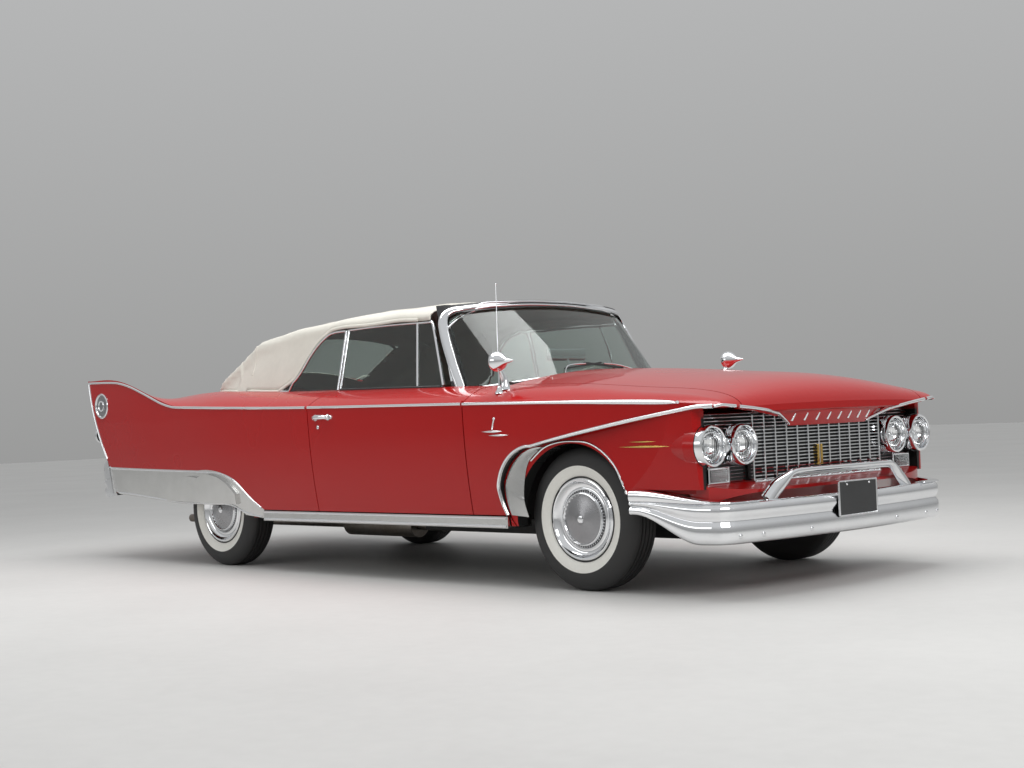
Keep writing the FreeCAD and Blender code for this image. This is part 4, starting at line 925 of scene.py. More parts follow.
def gravel_shield():
    """The bright crescent between the brow's tail and the front wheel's arch."""
    edge = away_from_wheel([p for p in BROW_TAIL if p[1] > .335], -.005)
    outer_path = smooth_path([(x, 0, z) for x, z in edge], 6)
    inner_path = smooth_path([(x, 0, z) for x, z in away_from_wheel(reversed(ARCH[:5]), .004)], 6)
    steps = 30
    surface = Surface("fender_right")
    bm = bmesh.new()
    rows = []
    for step in range(steps + 1):
        a = outer_path[round(step / steps * (len(outer_path) - 1))]
        b = inner_path[round(step / steps * (len(inner_path) - 1))]
        row = []
        for share in (.06, .25, .5, .75, .97):
            x, z = a.x + (b.x - a.x) * share, a.z + (b.z - a.z) * share
            row.append(bm.verts.new((x, 0, z)))
        rows.append(row)
    edges = []
    for row in rows:
        edges.append([bm.edges.new(pair) for pair in zip(row, row[1:])])
    for one, two in zip(edges, edges[1:]):
        bmesh.ops.bridge_loops(bm, edges=one + two)
    ends = []
    for row in rows:
        outer = surface.side(row[0].co.x, row[0].co.z)[0].y
        inner = surface.side(row[-1].co.x, row[-1].co.z)[0].y
        ends.append((outer, min(max(inner, outer - .02), outer + .02)))
    for i, row in enumerate(rows):
        near = ends[max(i - 2, 0):i + 3]
        outer, inner = (sum(pair[k] for pair in near) / len(near) for k in (0, 1))
        for vert, share, push in zip(row, (0, .25, .5, .75, 1), (.003, .002, .0015, .002, .003)):
            vert.co.y = outer + (inner - outer) * share - push
    bmesh.ops.solidify(bm, geom=bm.faces[:], thickness=.0015)
    settle(bm, "gravel_shield", "bright_steel", "stainless", crease=50, pair=True)


def sill_mouldings():
    """The sill's two rolled edges."""
    low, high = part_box("sills")
    surface = Surface("sills")
    bm = bmesh.new()
    for z, width in ((high.z - .008, .012), (low.z + .01, .014)):
        path = [(low.x + .01 + (high.x - low.x - .02) * i / 8, z) for i in range(9)]
        side_strip(bm, surface, path, width, .006)
    settle(bm, "sill_mouldings", "bright_steel", "chrome", crease=50, pair=True)


SKIRT_TOP = [
    (-2.44, .594), (-1.9, .582), (-1.4, .571), (-1.12, .562), (-1.0, .537), (-.93, .505),
    (-.86, .454), (-.8, .41), (-.715, .362)]
SKIRT_FOOT = [
    (-2.35, .437), (-2.2, .43), (-1.96, .412), (-1.6, .384), (-1.3, .382), (-1.1, .381),
    (-1.0, .372), (-.9, .338), (-.8, .318), (-.72, .31)]


def skirt_mouldings():
    """Rolled edges of the bright skirt over the rear wheel."""
    routes = [flat_path(SKIRT_TOP, 6), flat_path(SKIRT_FOOT, 6)]
    side_trim("skirt_mouldings", Surface("lower_rear_panels"), routes, .011, .005, "bright_steel")


def dart(bm, surface, x_back, x_front, z, tall, deep):
    """A slim pointed ornament that lies on the side."""
    middle = x_back + (x_front - x_back) * .55
    places = (x_back, x_back + (middle - x_back) * .5, middle, middle + (x_front - middle) * .5, x_front)
    line = flat_path([(x, z) for x in places], 4)
    sizes = []
    for x, _ in line:
        share = abs(x - middle) / (middle - x_back if x < middle else x_front - middle)
        swell = max(1 - share ** 1.6, .04)
        sizes.append((swell, swell))
    side_strip(bm, surface, line, tall, deep, sizes)


def side_ornaments():
    surface = Surface("fender_right")
    bm = bmesh.new()
    dart(bm, surface, 1.195, 1.335, .757, .014, .009)
    dart(bm, surface, 1.24, 1.375, .738, .012, .008)
    side_strip(bm, surface, [(1.268, .768), (1.276, .79), (1.284, .812)], .008, .006)
    ball(bm, surface.side(1.286, .818)[0], .008, 12, 8)
    bright(bm, "side_ornament", pair=True)
    bm = bmesh.new()
    dart(bm, surface, 2.02, 2.32, .668, .012, .007)
    dart(bm, surface, 2.08, 2.24, .69, .008, .006)
    settle(bm, "fender_dart", "chrome", "gold plate", crease=50, pair=True)


# ---- lamps, grille and nose

LAMP_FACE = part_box("headlamps")[1].x
LAMPS = ((-.834, "outer"), (-.611, "inner"))
LAMP_Z = .663
GRILLE_BARS, GRILLE_POSTS = 15, 12


def headlamps():
    """Each lamp: a rolled bezel, a retaining ring, the reflector and a fluted domed lens."""
    bezels, bowls, lenses = bmesh.new(), bmesh.new(), bmesh.new()
    for y, _ in LAMPS:
        centre = Vector((LAMP_FACE, y, LAMP_Z))
        rim = [(-.075, .0925), (-.02, .093), (0, .0925), (.007, .089), (.009, .084), (.006, .079),
               (-.004, .076), (-.016, .0745), (-.02, .07)]
        lathe(bezels, rim, centre, "x")
        ring = [(-.018, .0735), (-.01, .0725), (-.007, .07), (-.01, .0675), (-.018, .0665)]
        lathe(bezels, ring, centre, "x")
        for angle in (pi / 4, 3 * pi / 4, pi * 1.5):
            ball(bezels, centre + Vector((-.008, .0705 * cos(angle), .0705 * sin(angle))), .0035)
        bowl = [(-.0185, .0695), (-.034, .062), (-.052, .046), (-.063, .026), (-.066, .006), (-.06, 0)]
        lathe(bowls, bowl, centre, "x", 48)
        ball(bowls, centre + Vector((-.05, 0, 0)), .01, 12, 8)
        lens = [(-.0175, .0695), (-.01, .066), (-.003, .05), (.001, .03), (.0025, .012), (.003, 0)]
        lathe(lenses, lens, centre, "x", 48)
    for bm, name, slot, finish in ((bezels, "headlamp_bezels", "chrome", "chrome"),
                                   (bowls, "headlamp_reflectors", "chrome", "lamp reflector"),
                                   (lenses, "headlamp_lenses", "lamp_glass", "lamp glass")):
        settle(bm, name, slot, finish, crease=40, pair=True)


def parking_lamps():
    low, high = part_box("parking_lamps")
    frames, lenses = bmesh.new(), bmesh.new()
    inner = high.y - .15
    face = high.x
    corners = [(face, -high.y + .006, low.z + .006), (face, -inner - .006, low.z + .006),
               (face, -inner - .006, high.z - .006), (face, -high.y + .006, high.z - .006)]
    edge_frame(frames, corners, (1, 0, 0), .012, .006)
    rounded_box(lenses, (face - .002, -high.y + .01, low.z + .01),
                (face + .006, -inner - .01, high.z - .01), .004)
    for rib in range(7):
        z = low.z + .016 + rib * (high.z - low.z - .032) / 6
        line = [(face + .006, y, z) for y in (-high.y + .014, -inner - .014)]
        strip(lenses, line, (1, 0, 0), .006, .003, 4)
    for bm, name, slot, finish in ((frames, "parking_lamp_frames", "chrome", "chrome"),
                                   (lenses, "parking_lamp_lenses", "lamp_glass", "lamp glass")):
        settle(bm, name, slot, finish, crease=40, pair=True)


def grille_details():
    """The grille's bright frame, its dark back of painted shadow behind the grille and the lamps, and the
    plain gold bars at its middle.
    """
    low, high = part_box("grille")
    # painted shadow: dark boards behind the grille and behind the lamps stand in for the shade in the cavity
    # there
    bm = bmesh.new()
    back = low.x - .03
    rounded_box(bm, (back - .004, low.y + .02, low.z + .01), (back, high.y - .02, high.z - .01), .001, 1)
    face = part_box("headlamps")[0].x + .001
    for side in (RIGHT, LEFT):
        ends = sorted((side * .855, side * (high.y + .004)))
        rounded_box(bm, (face, ends[0], low.z + .004), (face + .004, ends[1], high.z + .06), .001, 1)
    settle(bm, "grille_back_painted_shadow", "underbody", "underseal")
    bm = bmesh.new()
    pitch = (high.z - low.z) / GRILLE_BARS
    for number in range(5):
        z = high.z + (number + .5) * pitch
        line = [Vector((high.x - .004 - .1 * max(abs(y) - .52, 0), y, z))
                for y in (-.84, -.72, -.6, -.52, .52, .6, .72, .84)]
        strip(bm, line, (1, 0, 0), .007, .007, 4)
    for number in range(GRILLE_BARS):
        z = low.z + (number + .5) * pitch
        for side in (RIGHT, LEFT):
            line = [(face + .006, side * y, z) for y in (high.y, .6, .72, .84)]
            strip(bm, line, (1, 0, 0), .006, .006, 4)
    for number in range(GRILLE_POSTS + 1):
        y = low.y + number * (high.y - low.y) / GRILLE_POSTS
        line = [(high.x + .001, y, z) for z in (low.z + .004, high.z, high.z + .062)]
        strip(bm, line, (1, 0, 0), .008, .006, 4)
    line = [(high.x + .001, y, low.z - .003) for y in (low.y, 0, high.y)]
    strip(bm, line, (1, 0, 0), .014, .008)
    bright(bm, "grille_bars")
    bm = bmesh.new()
    middle = (low.z + high.z) / 2 - .015
    for y in (-.013, .013):
        rounded_box(bm, (high.x - .002, y - .007, middle - .045),
                    (high.x + .01, y + .007, middle + .045), .004)
    rounded_box(bm, (high.x - .002, -.024, middle - .052), (high.x + .006, .024, middle - .044), .003)
    settle(bm, "grille_badge", "chrome", "gold plate", crease=50)


def hood_bars(count):
    """Plain upright bars on the hood's middle panel."""
    bm = bmesh.new()
    for number in range(count):
        y = (number / (count - 1) - .5) * .6
        line = [panel_point(y, z) + Vector((.001, 0, 0)) for z in (.757, .768, .779, .79)]
        sizes = [(1.5, 1), (1, 1), (.8, 1), (.5, .8)]
        strip(bm, line, (1, 0, -.4), .009, .006, sizes=sizes)
    bright(bm, "hood_bars", "hood")


def number_plates(width, height):
    """Blank dark plates in plain frames, each with two bolts."""
    for end, x, z, way in (("front", 2.6615, .392, 1), ("rear", -2.662, .47, -1)):
        bm = bmesh.new()
        half, tall = width / 2, height / 2
        back, face = sorted((x, x + way * .003))
        rounded_box(bm, (back, -half, z - tall), (face, half, z + tall), .001, 1)
        settle(bm, "number_plate_" + end, "trim_plastic", "plate enamel")
        bm = bmesh.new()
        corners = [(x + way * .002, y, z + h)
                   for y, h in ((-half, -tall), (half, -tall), (half, tall), (-half, tall))]
        edge_frame(bm, corners, (way, 0, 0), .009, .005, 5)
        for y in (-.09, .09):
            ball(bm, (x + way * .003, y, z + tall - .014), .006)
        bright(bm, "number_plate_frame_" + end, crease=35)


# ---- doors, glass frames and fittings

def door_handle(bm):
    """A pull handle with a push button, and the lock below it."""
    surface = Surface("door_right")
    z = .862

    def rosette(x, z, profile):
        lathe(bm, profile, surface.side(x, z)[0], "y", 20)

    line = smooth_path([(-.108, 0, z), (-.08, 0, z + .002), (-.035, 0, z + .003), (.006, 0, z + .001)], 5)
    points, sizes = [], []
    for i, v in enumerate(line):
        place, normal = surface.side(v.x, v.z)
        share = i / (len(line) - 1)
        rise = .026 * sin(pi * min(max(share, .06), .94)) ** .5
        points.append(place + normal * rise)
        sizes.append((1 + .25 * sin(pi * share), .75))
    sweep(bm, circle(.0095), stations(points, (0, -1, 0), sizes))
    for x in (-.104, .004):
        rosette(x, z, [(-.004, .0195), (.003, .01885), (.01, .013), (.016, .0104), (.018, 0)])
    rosette(.036, z, [(-.003, .013), (.01, .0125), (.014, .01), (.0145, 0)])
    rosette(-.085, z - .052, [(-.003, .011), (.003, .0105), (.005, .007), (.0055, 0)])


DOOR_GLASS_EDGES = {
    "divider": (.014, [(-.134, 1.01), (-.134, 1.342)]),
    "top": (.011, [(-.134, 1.342), (.1, 1.345), (.3, 1.344), (.556, 1.338)]),
    "vent bar": (.014, [(.52, 1.0), (.452, 1.339)]),
    "front": (.014, [(.722, 1.0), (.65, 1.166), (.578, 1.326), (.556, 1.338)]),
    "foot": (.011, [(-.134, 1.004), (.3, .999), (.722, .99)]),
}
QUARTER_GLASS_EDGES = (
    [(-.158, 1.012), (-.157, 1.34)],
    [(-.157, 1.34), (-.29, 1.334), (-.384, 1.286), (-.463, 1.21), (-.522, 1.132), (-.59, 1.07),
     (-.7, 1.032)])
GLASS_THICKNESS = .006


def glass_edge(bm, surface, path, width):
    """A bright edge on both faces of a glass, along (x, z) points."""
    points = [surface.side(x, z) for x, z in path]
    for out, shift in ((1, 0), (-1, GLASS_THICKNESS)):
        strip(bm, [p - n * shift for p, n in points], [n * out for _, n in points], width, .006)


def door_glass_frame(bm):
    surface = Surface("door_glass_right")
    for width, run in DOOR_GLASS_EDGES.values():
        glass_edge(bm, surface, flat_path(run, 3) if len(run) > 2 else run, width)


def door_glass_seal(bm):
    """The rubber at the foot of the door glass."""
    glass, door = Surface("door_glass_right"), Surface("door_right")
    line = []
    for x, z in [(-.128, 1.012), (-.08, 1.0115), (.3, 1.0065), (.715, .996)]:
        y = glass.side(x, z)[0].y
        line.append(Vector((x, y - .004, door.top(x, y)[0].z)))
    sweep(bm, [(-.01, -.004), (-.01, .004), (-.004, .009), (.004, .009), (.01, .004), (.01, -.004)],
          stations(smooth_path(line, 5), (0, 0, 1)))


def quarter_glass_frame():
    surface = Surface("quarter_glass")
    bm = bmesh.new()
    for run in QUARTER_GLASS_EDGES:
        glass_edge(bm, surface, flat_path(run, 4), .013)
    bright(bm, "quarter_glass_frame", pair=True)


POST_OUTWARDS = Vector((.5, -1, .2))


def frame_edges():
    """The A-post's front and rear edges and the header's lower and upper edges, as points on the right."""
    surface = Surface("windshield_frame")

    def seen(start, way, distance):
        return surface.tree.ray_cast(Vector(start), Vector(way), distance)[0] or Vector()

    front, rear, lower, upper = [], [], [], []
    for z in (1.0, 1.08, 1.16, 1.24, 1.29):
        hits = [x / 500 for x in range(250, 450) if seen((x / 500, -2, z), (0, 1, 0), 2).y < -.5]
        front.append(surface.side(max(hits) - .007, z))
        rear.append(surface.side(min(hits) + .008, z))
    for y in (-.5, -.4, -.28, -.14, 0):
        hits = [z / 500 for z in range(640, 740) if seen((3, y, z / 500), (-1, 0, 0), 3).x > .4]
        lower.append(surface.front(y, min(hits) + .008))
        upper.append(surface.front(y, max(hits) - .01))
    return [[surface.near(point, POST_OUTWARDS) for point in smooth_path([place for place, _ in hits], 6)]
            for hits in (front + lower, rear + upper)]


# The wide bright band: up the windshield's post, round its upper corner and into the header.
POST_BAND = [
    (.822, -.765, .98), (.803, -.76, 1.012), (.757, -.749, 1.089), (.722, -.739, 1.154),
    (.687, -.728, 1.219), (.656, -.716, 1.285), (.638, -.704, 1.338), (.638, -.683, 1.374),
    (.656, -.648, 1.397), (.682, -.596, 1.406), (.698, -.507, 1.416), (.709, -.414, 1.424),
    (.722, -.3, 1.429)]


def windshield_seals():
    """Bright mouldings round the frame, a wide band up its posts and the reveal at the glass's foot."""
    mouldings, band = bmesh.new(), bmesh.new()
    for hits in frame_edges():
        windows = [hits[max(i - 3, 0):i + 4] for i in range(len(hits))]
        outs = [sum((n for _, n in window), Vector()).normalized() for window in windows]
        points = [sum((p for p, _ in window), Vector()) / len(window) + out * .003
                  for window, out in zip(windows, outs)]
        strip(mouldings, mirrored(points), mirrored(outs), .012, .007)
    surface = Surface("windshield_frame")
    snapped = [surface.near(point, POST_OUTWARDS) for point in smooth_path(POST_BAND, 5)]
    outs = [sum((n for _, n in snapped[max(i - 3, 0):i + 4]), Vector()).normalized()
            for i in range(len(snapped))]
    points = [place + out * .001 for (place, _), out in zip(snapped, outs)]
    count = len(points)
    ends = [blend_over(i, count * .45, count * .75, 1, .55) * blend_over(i, count * .85, count - 1, 1, .15)
            for i in range(count)]
    strip(band, points, outs, .052, .011, 8, sizes=[(e, max(e, .5)) for e in ends])
    bright(mouldings, "windshield_mouldings")
    bright(band, "windshield_corner_bands", pair=True)

    glass, below = Surface("windshield"), Surface("cowl", "fender_right", "hood")
    line, outs = [], []
    for step in range(25):
        angle = radians(86) * (1 - step / 24)
        way = Vector((-cos(angle), sin(angle), 0))
        height = 1.06
        for _ in range(3):
            start = Vector((.55, 0, height)) - way * 3
            place, normal, _, _ = glass.tree.ray_cast(start, way, 4)
            if place is None:
                break
            height = below.top(place.x, max(place.y, -.8))[0].z + .01
        if place is not None:
            line.append(Vector((place.x, place.y, height)))
            outs.append(normal if normal.dot(way) < 0 else -normal)
    bm = bmesh.new()
    strip(bm, line, outs, .018, .008)
    bright(bm, "windshield_reveal", pair=True)


MIRROR_FOOT, ANTENNA_FOOT = (1.252, -.862), (1.253, -.905)    # x, y


def fender_mirrors():
    """Bullet mirrors: a tapering stalk on a foot, a round glass and a long pointed back."""
    low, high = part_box("fender_mirrors")
    head = Vector((high.x - .105, low.y + .044, high.z - .042))
    surface = Surface("fender_right")
    foot, normal = surface.top(*MIRROR_FOOT)
    bm = bmesh.new()
    line = smooth_path([foot - normal * .004, foot + Vector((-.004, -.002, .05)),
                        head + Vector((-.004, .01, -.03)), head], 5)
    radii = [.028 - .015 * min(i / (len(line) * .55), 1) ** .7 for i in range(len(line))]
    tube(bm, line, .02, 14, radii, up=(1, 0, 0))
    shell = [(-.014, .038), (-.017, .045), (-.009, .049), (.004, .0495), (.02, .045), (.036, .035),
             (.05, .023), (.066, .014), (.09, .008), (.106, .004), (.11, 0)]
    lathe(bm, shell, head, "x", 40)
    lathe(bm, [(-.012, .042), (-.0125, .02), (-.013, 0)], head, "x", 40)
    piece = bright(bm, "mirrors_dressed", crease=35, pair=True)
    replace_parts(piece, "fender_mirrors")


def antenna(length):
    surface = Surface("fender_right")
    foot, _ = surface.top(*ANTENNA_FOOT)
    bm = bmesh.new()
    lathe(bm, [(-.004, .021), (.004, .02), (.014, .013), (.022, .011), (.03, .007), (.034, 0)],
          foot, "z", 20)
    top = foot + Vector((-.02, .024, length))
    line = [foot + (top - foot) * share for share in (0, .25, .251, .6, .601, 1)]
    tube(bm, line, .003, 8, [.0042, .0042, .0032, .0032, .0022, .0018], up=(1, 0, 0))
    ball(bm, top, .0045, 10, 8)
    bright(bm, "antenna", crease=40)


def wipers():
    """Two arms from their pivots on the cowl, with their blades lying on the glass."""
    cowl, glass = Surface("cowl"), Surface("windshield")
    arms, blades = bmesh.new(), bmesh.new()
    reach = .4
    for way in (-1, 1):
        y = way * .33

        def on_glass(reached, z, lift):
            place, out = glass.front(y - way * reached, z, 2.2)
            return place + out * lift

        pivot, _ = cowl.top(1.15, y)
        lathe(arms, [(-.004, .017), (.006, .016), (.014, .011), (.02, .006), (.022, 0)], pivot, "z", 16)
        points = [pivot + Vector((0, 0, .016))]
        points += [on_glass(reach * share * .9, 1.06 + .03 * share, .014) for share in (.35, .72)]
        tube(arms, smooth_path(points, 5), .004, 8)
        line = [on_glass(reach * share, 1.052 + .04 * share, .006) for share in (.25, .5, .75, 1)]
        sweep(blades, [(-.003, -.004), (-.0045, .004), (.0045, .004), (.003, -.004)],
              stations(smooth_path(line, 5), (1, 0, .3)))
    bright(arms, "wiper_arms", crease=40)
    settle(blades, "wiper_blades", "trim_plastic", "rubber seal", crease=40)


REAR_VIEW_PLACE = Vector((.845, 0, 1.15))


def rear_view_mirror():
    """The mirror on its stem from the dashboard's top."""
    bm = bmesh.new()
    centre = REAR_VIEW_PLACE
    rounded_box(bm, centre - Vector((.014, .148, .034)), centre + Vector((.012, .148, .034)), .012, 4)
    foot = Vector((.9, 0, .948))
    stem = smooth_path([foot, foot + Vector((0, 0, .06)), centre + Vector((.016, 0, -.05)), centre], 5)
    tube(bm, stem, .006, up=(0, 1, 0))
    lathe(bm, [(-.002, .02), (.006, .018), (.01, .008)], foot, "z", 24)
    bright(bm, "rear_view_mirror", crease=35)


def tail_lamps():
    """A round ruby lens in a bright bezel under each fin."""
    centre = Vector((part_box("tail_lamps")[0].x, -.85, .812))
    bezels, lenses = bmesh.new(), bmesh.new()
    lathe(bezels, [(.02, .053), (-.004, .054), (-.01, .0515), (-.012, .047), (-.006, .043), (0, .042)],
          centre, "x", 48)
    lathe(lenses, [(-.002, .0425), (-.012, .038), (-.022, .026), (-.028, .012), (-.03, 0)], centre, "x", 48)
    bright(bezels, "tail_lamp_bezels", crease=40, pair=True)
    settle(lenses, "tail_lamp_lenses", "red_lens", "ruby lens", crease=40, pair=True)


MEDALLION_PLACE = (-2.465, 1.002)    # x, z


def fin_medallions():
    """A plain ring and disc on each fin."""
    surface = Surface("quarter_right")
    bm = bmesh.new()
    place, _ = surface.side(*MEDALLION_PLACE)
    lathe(bm, [(-.004, .082), (.006, .082), (.01, .078), (.01, .072), (.006, .068), (.002, .067)],
          place, "y")
    before = len(bm.faces)
    lathe(bm, [(.002, .067), (.004, .05), (.007, .026), (.008, 0)], place, "y")
    mark(bm, before, 1)
    lathe(bm, [(.004, .036), (.01, .035), (.012, .031), (.01, .027), (.006, .026)], place, "y", 48)
    settle(bm, "fin_medallions", "chrome", "chrome", "grey steel", crease=35, pair=True)


# ---- soft top

# place of the bow | half width and height at the belt, where the side turns in, at the corner,
# where the roof starts, and the height on the centre line
BOWS = [
    (.74, (.8, .94), (.724, 1.312), (.704, 1.385), (.61, 1.408), 1.462),
    (.3, (.8, .94), (.724, 1.328), (.706, 1.398), (.61, 1.426), 1.482),
    (-.2, (.8, .94), (.722, 1.326), (.704, 1.396), (.606, 1.424), 1.482),
    (-.65, (.8, .94), (.716, 1.296), (.698, 1.37), (.59, 1.398), 1.458),
    (-1.04, (.796, .94), (.7, 1.24), (.684, 1.322), (.558, 1.352), 1.408),
    (-1.24, (.786, .94), (.71, 1.13), (.694, 1.208), (.53, 1.24), 1.318),
    (-1.42, (.748, .94), (.706, 1.052), (.69, 1.116), (.49, 1.148), 1.222),
    (-1.62, (.6, .94), (.575, 1.028), (.56, 1.056), (.37, 1.068), 1.108),
    (-1.715, (.3, .94), (.285, 1.018), (.275, 1.034), (.185, 1.04), 1.052),
]
SIDE_OPENING = [
    (-.742, 1.018), (-.6, 1.078), (-.536, 1.148), (-.474, 1.228), (-.396, 1.306), (-.29, 1.352),
    (-.17, 1.358), (.3, 1.36), (.575, 1.354), (.8, 1.354)]


def bow_controls(x):
    """The section's control points at any place between the bows."""
    flat = [Vector(sum(((p[0], p[1]) for p in row[1:5]), ()) + (row[5],)) for row in BOWS]
    places = [row[0] for row in BOWS]
    x = min(max(x, places[-1]), places[0])
    i = next(k for k in range(len(places) - 1) if x >= places[k + 1] - 1e-9)
    t = (places[i] - x) / (places[i] - places[i + 1])
    a, b = flat[max(i - 1, 0)], flat[i]
    c, d = flat[i + 1], flat[min(i + 2, len(flat) - 1)]
    values = curve_between(a, b, c, d, t).lerp(b.lerp(c, t), .35)
    return [(values[k], values[k + 1]) for k in range(0, 8, 2)], values[8]


def opening_height(x):
    """The top's lower edge beside the windows, or None where it reaches the body."""
    if x <= SIDE_OPENING[0][0]:
        return None
    for (x0, z0), (x1, z1) in zip(SIDE_OPENING, SIDE_OPENING[1:]):
        if x0 <= x <= x1:
            return z0 + (z1 - z0) * (x - x0) / (x1 - x0)
    return SIDE_OPENING[-1][1]


def half_section(x, foot_z, count):
    """Evenly spaced (y, z) points from the lower edge to the centre line."""
    (foot, side, corner, roof), crown = bow_controls(x)
    waist = ((foot[0] + side[0]) / 2, (foot[1] + side[1]) / 2)
    shoulder = (roof[0] * .5, crown - (crown - roof[1]) * .27)
    points = (foot, waist, side, corner, roof, shoulder, (0, crown))
    line = smooth_path([(y, 0, z) for y, z in points], 10)
    foot_z = min(foot_z, crown - .006)
    start = next(i for i, v in enumerate(line) if v.z > foot_z)
    if start:
        a, b = line[start - 1], line[start]
        line = [a.lerp(b, (foot_z - a.z) / (b.z - a.z))] + line[start:]
    lengths = [0]
    for a, b in zip(line, line[1:]):
        lengths.append(lengths[-1] + (b - a).length)
    result = []
    for k in range(count + 1):
        want = lengths[-1] * k / count
        i = min(next((j for j, s in enumerate(lengths) if s >= want), len(lengths) - 1), len(line) - 1)
        i = max(i, 1)
        span = lengths[i] - lengths[i - 1]
        result.append(line[i - 1].lerp(line[i], (want - lengths[i - 1]) / span if span else 0))
    return result


def header_edge(y):
    return .556 + .118 * (1 - min(abs(y) / .712, 1) ** 2)


BACKLIGHT = (-1.13, -1.52, .47)
TOP_COLUMNS, TOP_ROWS = 120, 28
TOP_RESTS_ON = ("rear_deck", "quarter_right", "quarter_left")
HEADER_X = .7


def top_point(u, v, foot_surface, dip=.005):
    """The fabric's surface: u runs from the header to the tail, v from the right edge to the left."""
    x = HEADER_X + (BOWS[-1][0] - HEADER_X) * u
    side = RIGHT if v < .5 else LEFT
    share = abs(v - .5) * 2
    foot_z = opening_height(x)
    if foot_z is None:
        (foot, _, _, _), _ = bow_controls(x)
        place, _ = foot_surface.top(x, -foot[0] * .985)
        foot_z = place.z - .004
    section = half_section(x, foot_z, TOP_ROWS)
    spot = section[round((1 - share) * TOP_ROWS)]
    sag = 0
    bows = [row[0] for row in BOWS[1:5]]
    for front, back in zip([.68] + bows, bows):
        if back < x < front:
            sag = sin(pi * (x - back) / (front - back)) ** 2
    sag *= dip if spot.z > 1.3 else dip * .4
    y = side * spot.x
    return Vector((min(x, header_edge(y)), y, spot.z - sag))


def soft_top(dip):
    foot_surface = Surface(*TOP_RESTS_ON)
    bm = bmesh.new()
    bmesh.ops.create_grid(bm, x_segments=TOP_COLUMNS, y_segments=2 * TOP_ROWS, size=1)
    bmesh.ops.reverse_faces(bm, faces=bm.faces)
    rows = {}
    for vert in bm.verts:
        u, v = (vert.co.x + 1) / 2, (vert.co.y + 1) / 2
        key = (round(u * TOP_COLUMNS), round(v * 2 * TOP_ROWS))
        if key not in rows:
            rows[key] = top_point(u, v, foot_surface, dip)
        vert.co = rows[key]
    front, back, half = BACKLIGHT
    for face in bm.faces:
        place = face.calc_center_median()
        corner = max(abs(place.y) / half, abs(place.x - (front + back) / 2) / ((front - back) / 2))
        if corner < 1:
            face.material_index = 2
    area = sum(face.calc_area() for face in bm.faces)
    for face in bm.faces:
        face.smooth = True
    piece = new_piece(bm, "fabric_top", "top canvas", "top lining", "tinted glass")
    wall = piece.modifiers.new("thickness", "SOLIDIFY")
    wall.thickness, wall.offset = .004, -1
    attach(piece, "body")
    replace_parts(piece, "soft_top")


def top_trims():
    """Binding along the top's lower edges, its seams, and the backlight's frame."""
    foot_surface = Surface(*TOP_RESTS_ON)
    bm = bmesh.new()
    edge = []
    for step in range(61):
        u = .1 + .9 * step / 60
        place = top_point(u, 0, foot_surface)
        edge.append(place + Vector((0, -.001, .004 if place.x < -.74 else .006)))
    strip(bm, edge, (0, -1, .25), .02, .005)
    both_sides(bm)
    for v in (.27, .73):
        line = [top_point(step / 40, v, foot_surface) for step in range(1, 31)]
        strip(bm, line, (0, 0, 1), .014, .0035, 4)
    u = (HEADER_X + 1.06) / (HEADER_X - BOWS[-1][0])
    line = [top_point(u, .06 + .88 * step / 40, foot_surface) for step in range(41)]
    outs = [(point - Vector((-.9, 0, .8))).normalized() for point in line]
    strip(bm, line, outs, .016, .004, 4)
    settle(bm, "fabric_top_seams", "top_fabric", "top canvas", crease=50)

    bm = bmesh.new()
    surface = Surface("soft_top")
    front, back, half = BACKLIGHT
    corners = [(front, -half), (front, half), (back, half), (back, -half)]
    line = []
    for (x0, y0), (x1, y1) in zip(corners, corners[1:] + corners[:1]):
        for step in range(10):
            share = .06 + .88 * step / 9
            line.append((x0 + (x1 - x0) * share, y0 + (y1 - y0) * share))
    ring = [surface.top(x, y) for x, y in line]
    sweep(bm, half_round(.022, .005, 5), stations([p for p, _ in ring], [n for _, n in ring]), close=True)
    settle(bm, "backlight_frame", "top_fabric", "white vinyl", crease=50)


# ---- cabin

def cross_frame(middle, y, size):
    """A frame for an (x, z) section at one place across the car."""
    turn = Matrix(((size, 0, 0), (0, 0, 1), (0, size, 0))).to_4x4()
    return Matrix.Translation(Vector((middle.x, y, middle.z))) @ turn


def bench_cushion(bm, section, half_width, pleats, ends=.06):
    """A channelled bench: a closed (x, z) section carried across the car, drawn in at each seam."""
    middle = sum((Vector((x, 0, z)) for x, z in section), Vector()) / len(section)
    count = pleats * 6
    frames = []
    for step in range(count + 1):
        y = -half_width + 2 * half_width * step / count
        seam = abs(sin(pi * pleats * step / count))
        from_end = min(step, count - step) / count * 2 * half_width
        round_end = 1 - .1 * max(1 - from_end / ends, 0) ** 2
        size = (.972 + .028 * seam ** .5) * round_end
        frames.append(cross_frame(middle, y, size))
    sweep(bm, [(x - middle.x, z - middle.z) for x, z in section], frames)


def rounded_section(points, steps=5):
    """A closed smooth (x, z) section through a few points."""
    loop = [(x, 0, z) for x, z in points]
    line = smooth_path([loop[-1]] + loop + [loop[0], loop[1]], steps)[steps:-steps - 1]
    return [(v.x, v.z) for v in line]


